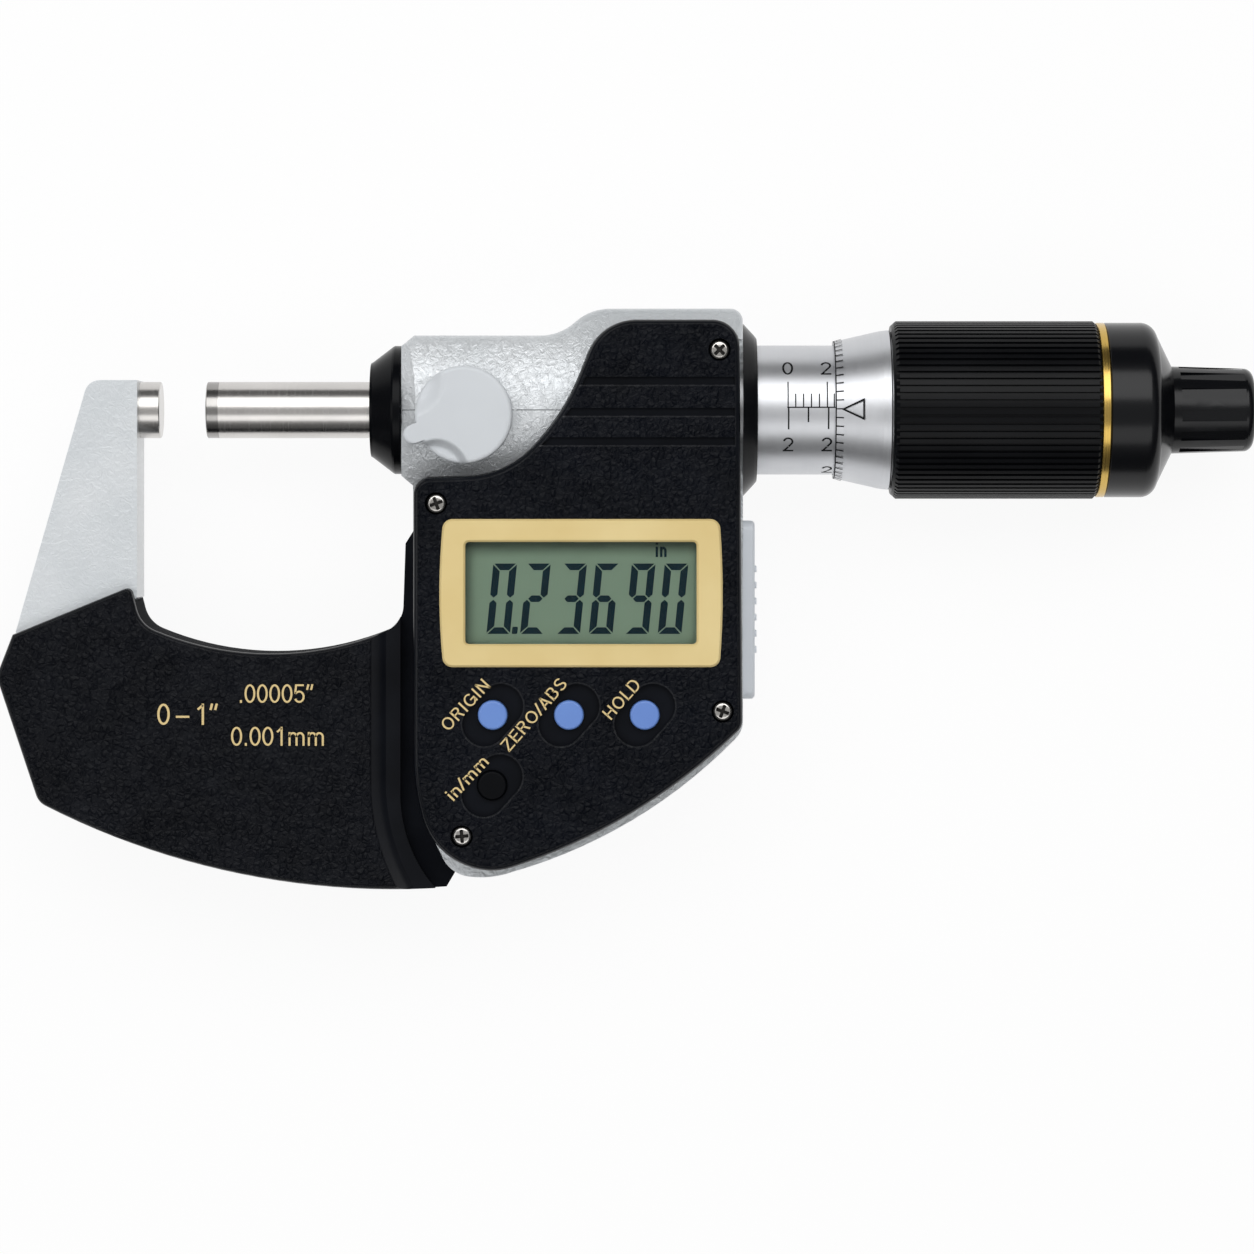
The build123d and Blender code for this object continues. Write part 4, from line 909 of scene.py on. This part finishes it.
def print_on_covers():
    """Gold function names beside the buttons and the range and steps on the bow."""
    # Name, text, start, angle in degrees, front, capitals' height, length, stroke as a share of the height
    rows = [
        ("origin_legend", "ORIGIN", (37.95, -41.5), 47.0, COVER_FRONT, 1.62, 7.9, 0.115),
        ("zero_legend", "ZERO/ABS", (45.7, -44.15), 49.0, COVER_FRONT, 1.62, 11.5, 0.115),
        ("hold_legend", "HOLD", (58.8, -40.0), 48.5, COVER_FRONT, 1.62, 5.85, 0.115),
        ("unit_legend", "in/mm", (38.6, -50.4), 47.0, COVER_FRONT, 1.62, 6.7, 0.115),
        ("range_print", '0 - 1"', (0.05, -40.85), 0.0, BOW_FRONT, 2.75, 7.85, 0.1),
        ("inch_step_print", '.00005"', (10.75, -38.0), 0.0, BOW_FRONT, 2.4, 9.5, 0.1),
        ("metric_step_print", "0.001mm", (9.6, -43.55), 0.0, BOW_FRONT, 2.45, 12.0, 0.1),
    ]
    for name, text, start, angle, front, height, length, weight in rows:
        points, faces = letters(text, height, weight)
        stretch = length / points[:, 0].max()
        points = on_plane(points, start, front + 0.005, angle, stretch)
        build(name, points, faces, "frame", GOLD_PRINT)


print_on_covers()


# Scales on sleeve and thimble

def bar(u0, u1, v0, v1, steps=4):
    """A thin rectangular mark from u0 to u1 and v0 to v1, cut into steps along v so that it wraps well."""
    v = np.linspace(v0, v1, steps + 1)
    outline = [(u0, b) for b in v[::-1]] + [(u1, b) for b in v]
    count = len(outline)
    half = count // 2
    points = np.array([(u, b, w) for w in (0.0, 1.0) for u, b in outline])
    faces = []
    for k in range(steps):
        a, b, c, d = half - 1 - k, half - 2 - k, half + k + 1, half + k
        faces.append(tuple(i + count for i in (a, d, c, b)))
        faces.append((a, b, c, d))
    for i in range(count):
        j = (i + 1) % count
        faces.append((i, i + count, j + count, j))
    return points, faces


def sleeve_scale():
    """Datum line along the sleeve, long and short marks above and below it, and its figures."""
    datum_start, datum_end, datum_low, datum_y, datum_high = 81.5, 108.2, 0.12, 0.2, 0.28
    # Where the marks that show in the rest position were measured, and the even steps beyond them
    upper_start, upper_step, long_mark, short_mark = 81.61, 1.016, 3.3, 1.77
    upper = [upper_start, 82.59, 83.6, 84.62, 85.65, 86.68, 87.57]
    upper += [upper_start + upper_step * k for k in range(7, 26)]
    lower = [(81.68, 2.84), (84.23, 1.9), (86.84, 2.8)]
    lower += [(81.68 + 2.55 * k, 1.9 if k % 2 else 2.84) for k in range(3, 11)]
    figure_height, figure_weight, figure_width, figure_y = 2.1, 0.1, 1.25, 5.3
    places = [("0", 81.6, figure_y), ("2", 86.55, figure_y)]
    places += [("2", 81.65, -4.6), ("2", 86.65, -4.6), ("2", 86.8, -7.85)]
    places += [(str(2 * k), 81.6 + 5.08 * k, figure_y) for k in range(2, 6)]

    def wrapped(points):
        return on_turned(points, 0.0, 0.0, SLEEVE_R, 0.0)

    def round_at(y):
        return SLEEVE_R * math.asin(y / SLEEVE_R)

    marks = []

    def add(u0, u1, v0, v1):
        points, faces = bar(u0, u1, round_at(v0), round_at(v1))
        marks.append((wrapped(points), faces))

    add(datum_start, datum_end, datum_low, datum_high)
    for k, x in enumerate(upper):
        length = short_mark if k % 5 else long_mark
        add(x - 0.08, x + 0.08, datum_y, datum_y + length)
    for x, length in lower:
        add(x - 0.1, x + 0.1, datum_y - length, datum_y)
    points, faces = gather(marks)
    build("sleeve_marks", points, faces, "frame", BLACK_PRINT_AND_SHADOW)
    figures = []
    for text, x, y in places:
        points, faces = letters(text, figure_height, figure_weight)
        points[:, 0] *= figure_width
        points[:, 0] += x - 0.5 * points[:, 0].max()
        points[:, 1] += round_at(y) - 0.5 * figure_height
        figures.append((wrapped(points), faces))
    points, faces = gather(figures)
    build("sleeve_figures", points, faces, "frame", BLACK_PRINT_AND_SHADOW)


def thimble_scale():
    """Fifty marks round the bevel's front edge, a dark ring of painted shadow along that edge, and a
    triangular index.
    """
    slope = (BEVEL_R[1] - BEVEL_R[0]) / (BEVEL_END - BEVEL_START)
    divisions = 50
    # The ring along the bevel's front edge is painted shadow where the thimble stands over the sleeve.
    mark, edge_shadow_ring = bar(0.02, 1.05, -0.07, 0.07, 1), bar(0.0, 0.13, -0.565, 0.565)
    index = ribbon([(0.98, -0.05), (3.6, 1.08), (3.6, -1.18), (0.98, -0.05)], 0.2)
    turns = [360.0 / divisions * k for k in range(divisions)]
    pieces = [(mark, turn) for turn in turns] + [(edge_shadow_ring, turn) for turn in turns] + [(index, 0.0)]
    points, faces = gather([
        (on_turned(flat, BEVEL_START, turn, BEVEL_R[0], slope), faces) for (flat, faces), turn in pieces
    ])
    build("thimble_marks_and_shadow", points, faces, "spindle", BLACK_PRINT_AND_SHADOW)


sleeve_scale()
thimble_scale()


# Ground, light and camera

def lay_ground():
    """Pale ground under the instrument, which looks white to the camera and in reflections."""
    half_side, glow_share = 1.5, 0.92
    corners = [(-1, -1), (1, -1), (1, 1), (-1, 1)]
    mesh = bpy.data.meshes.new("ground")
    mesh.from_pydata(
        [(u * half_side, v * half_side, GROUND_LEVEL * MM) for u, v in corners], [], [(0, 1, 2, 3)],
    )
    ground = bpy.data.objects.new("ground", mesh)
    bpy.context.scene.collection.objects.link(ground)
    material, tree, shader = plain("ground_white", (0.97, 0.97, 0.97), 0.9, specular=0.0)
    mesh.materials.append(material)
    ray = tree.nodes.new("ShaderNodeLightPath").outputs
    looked_at = ray["Is Camera Ray"]
    for kind in ("Is Glossy Ray", "Is Transmission Ray"):
        looked_at = maths(tree, "MAXIMUM", looked_at, ray[kind])
    glow = make(tree, "ShaderNodeEmission", Strength=1.0)
    mixed = tree.nodes.new("ShaderNodeMixShader")
    tree.links.new(times(tree, looked_at, glow_share), mixed.inputs[0])
    tree.links.new(shader.outputs[0], mixed.inputs[1])
    tree.links.new(glow.outputs[0], mixed.inputs[2])
    tree.links.new(mixed.outputs[0], tree.nodes["Material Output"].inputs["Surface"])


def light_world():
    """A dim white world, dimmest from the horizon up to a third of the height."""
    world = bpy.data.worlds.new("studio")
    bpy.context.scene.world = world
    world.use_nodes = True
    tree = world.node_tree
    back = tree.nodes["Background"]
    apart = axes(tree, tree.nodes.new("ShaderNodeTexCoord").outputs["Generated"])
    rising = ranged(tree, apart["Z"], 0.1, 0.42, 0.35, 0.85, smooth=True)
    back.inputs["Color"].default_value = (1.0, 1.0, 1.0, 1.0)
    tree.links.new(rising, back.inputs["Strength"])


def softbox(name, tilt, turn, distance, size, radiance):
    """A rectangular area lamp over the instrument, lengths in millimetres.

    It stands at that distance from the instrument's middle, leaning tilt degrees from overhead towards
    turn (0 is +Y, 90 is +X), faces that middle, and shines evenly with that radiance, where 1 is a white
    surface.
    """
    aim = np.array([60.0, -15.0, 0.0])
    lamp = bpy.data.lights.new(name, "AREA")
    lamp.shape = "RECTANGLE"
    lamp.size = size[0] * MM
    lamp.size_y = size[1] * MM
    lamp.energy = radiance * math.pi * lamp.size * lamp.size_y
    obj = bpy.data.objects.new(name, lamp)
    bpy.context.scene.collection.objects.link(obj)
    a, b = math.radians(tilt), math.radians(turn)
    outward = np.array([math.sin(a) * math.sin(b), math.sin(a) * math.cos(b), math.cos(a)])
    obj.location = ((aim + outward * distance) * MM).tolist()
    obj.rotation_mode = "QUATERNION"
    obj.rotation_quaternion = Vector((-outward).tolist()).to_track_quat("-Z", "Y")


def camera():
    """Camera straight above the display, with the photograph's field of view and framing.

    The focal length and the shift were measured in the photograph's pixels.
    """
    photo_width, focal_length, down_shift, sensor = 1254.0, 4900.0, 127.0, 36.0
    data = bpy.data.cameras.new("camera")
    data.sensor_width = sensor
    data.lens = sensor * focal_length / photo_width
    data.shift_y = -down_shift / photo_width
    data.clip_start = 0.01
    data.clip_end = 20.0
    obj = bpy.data.objects.new("camera", data)
    bpy.context.scene.collection.objects.link(obj)
    obj.location = (60.82 * MM, -11.76 * MM, 640.5 * MM)
    bpy.context.scene.camera = obj


lay_ground()
light_world()
softbox("key_light", 33.0, 0.0, 620.0, (900.0, 420.0), 2.15)
softbox("fill_light", 33.0, 180.0, 620.0, (900.0, 260.0), 1.05)
softbox("left_light", 50.0, 270.0, 620.0, (260.0, 500.0), 1.0)
camera()
bpy.context.scene.view_settings.view_transform = "Standard"
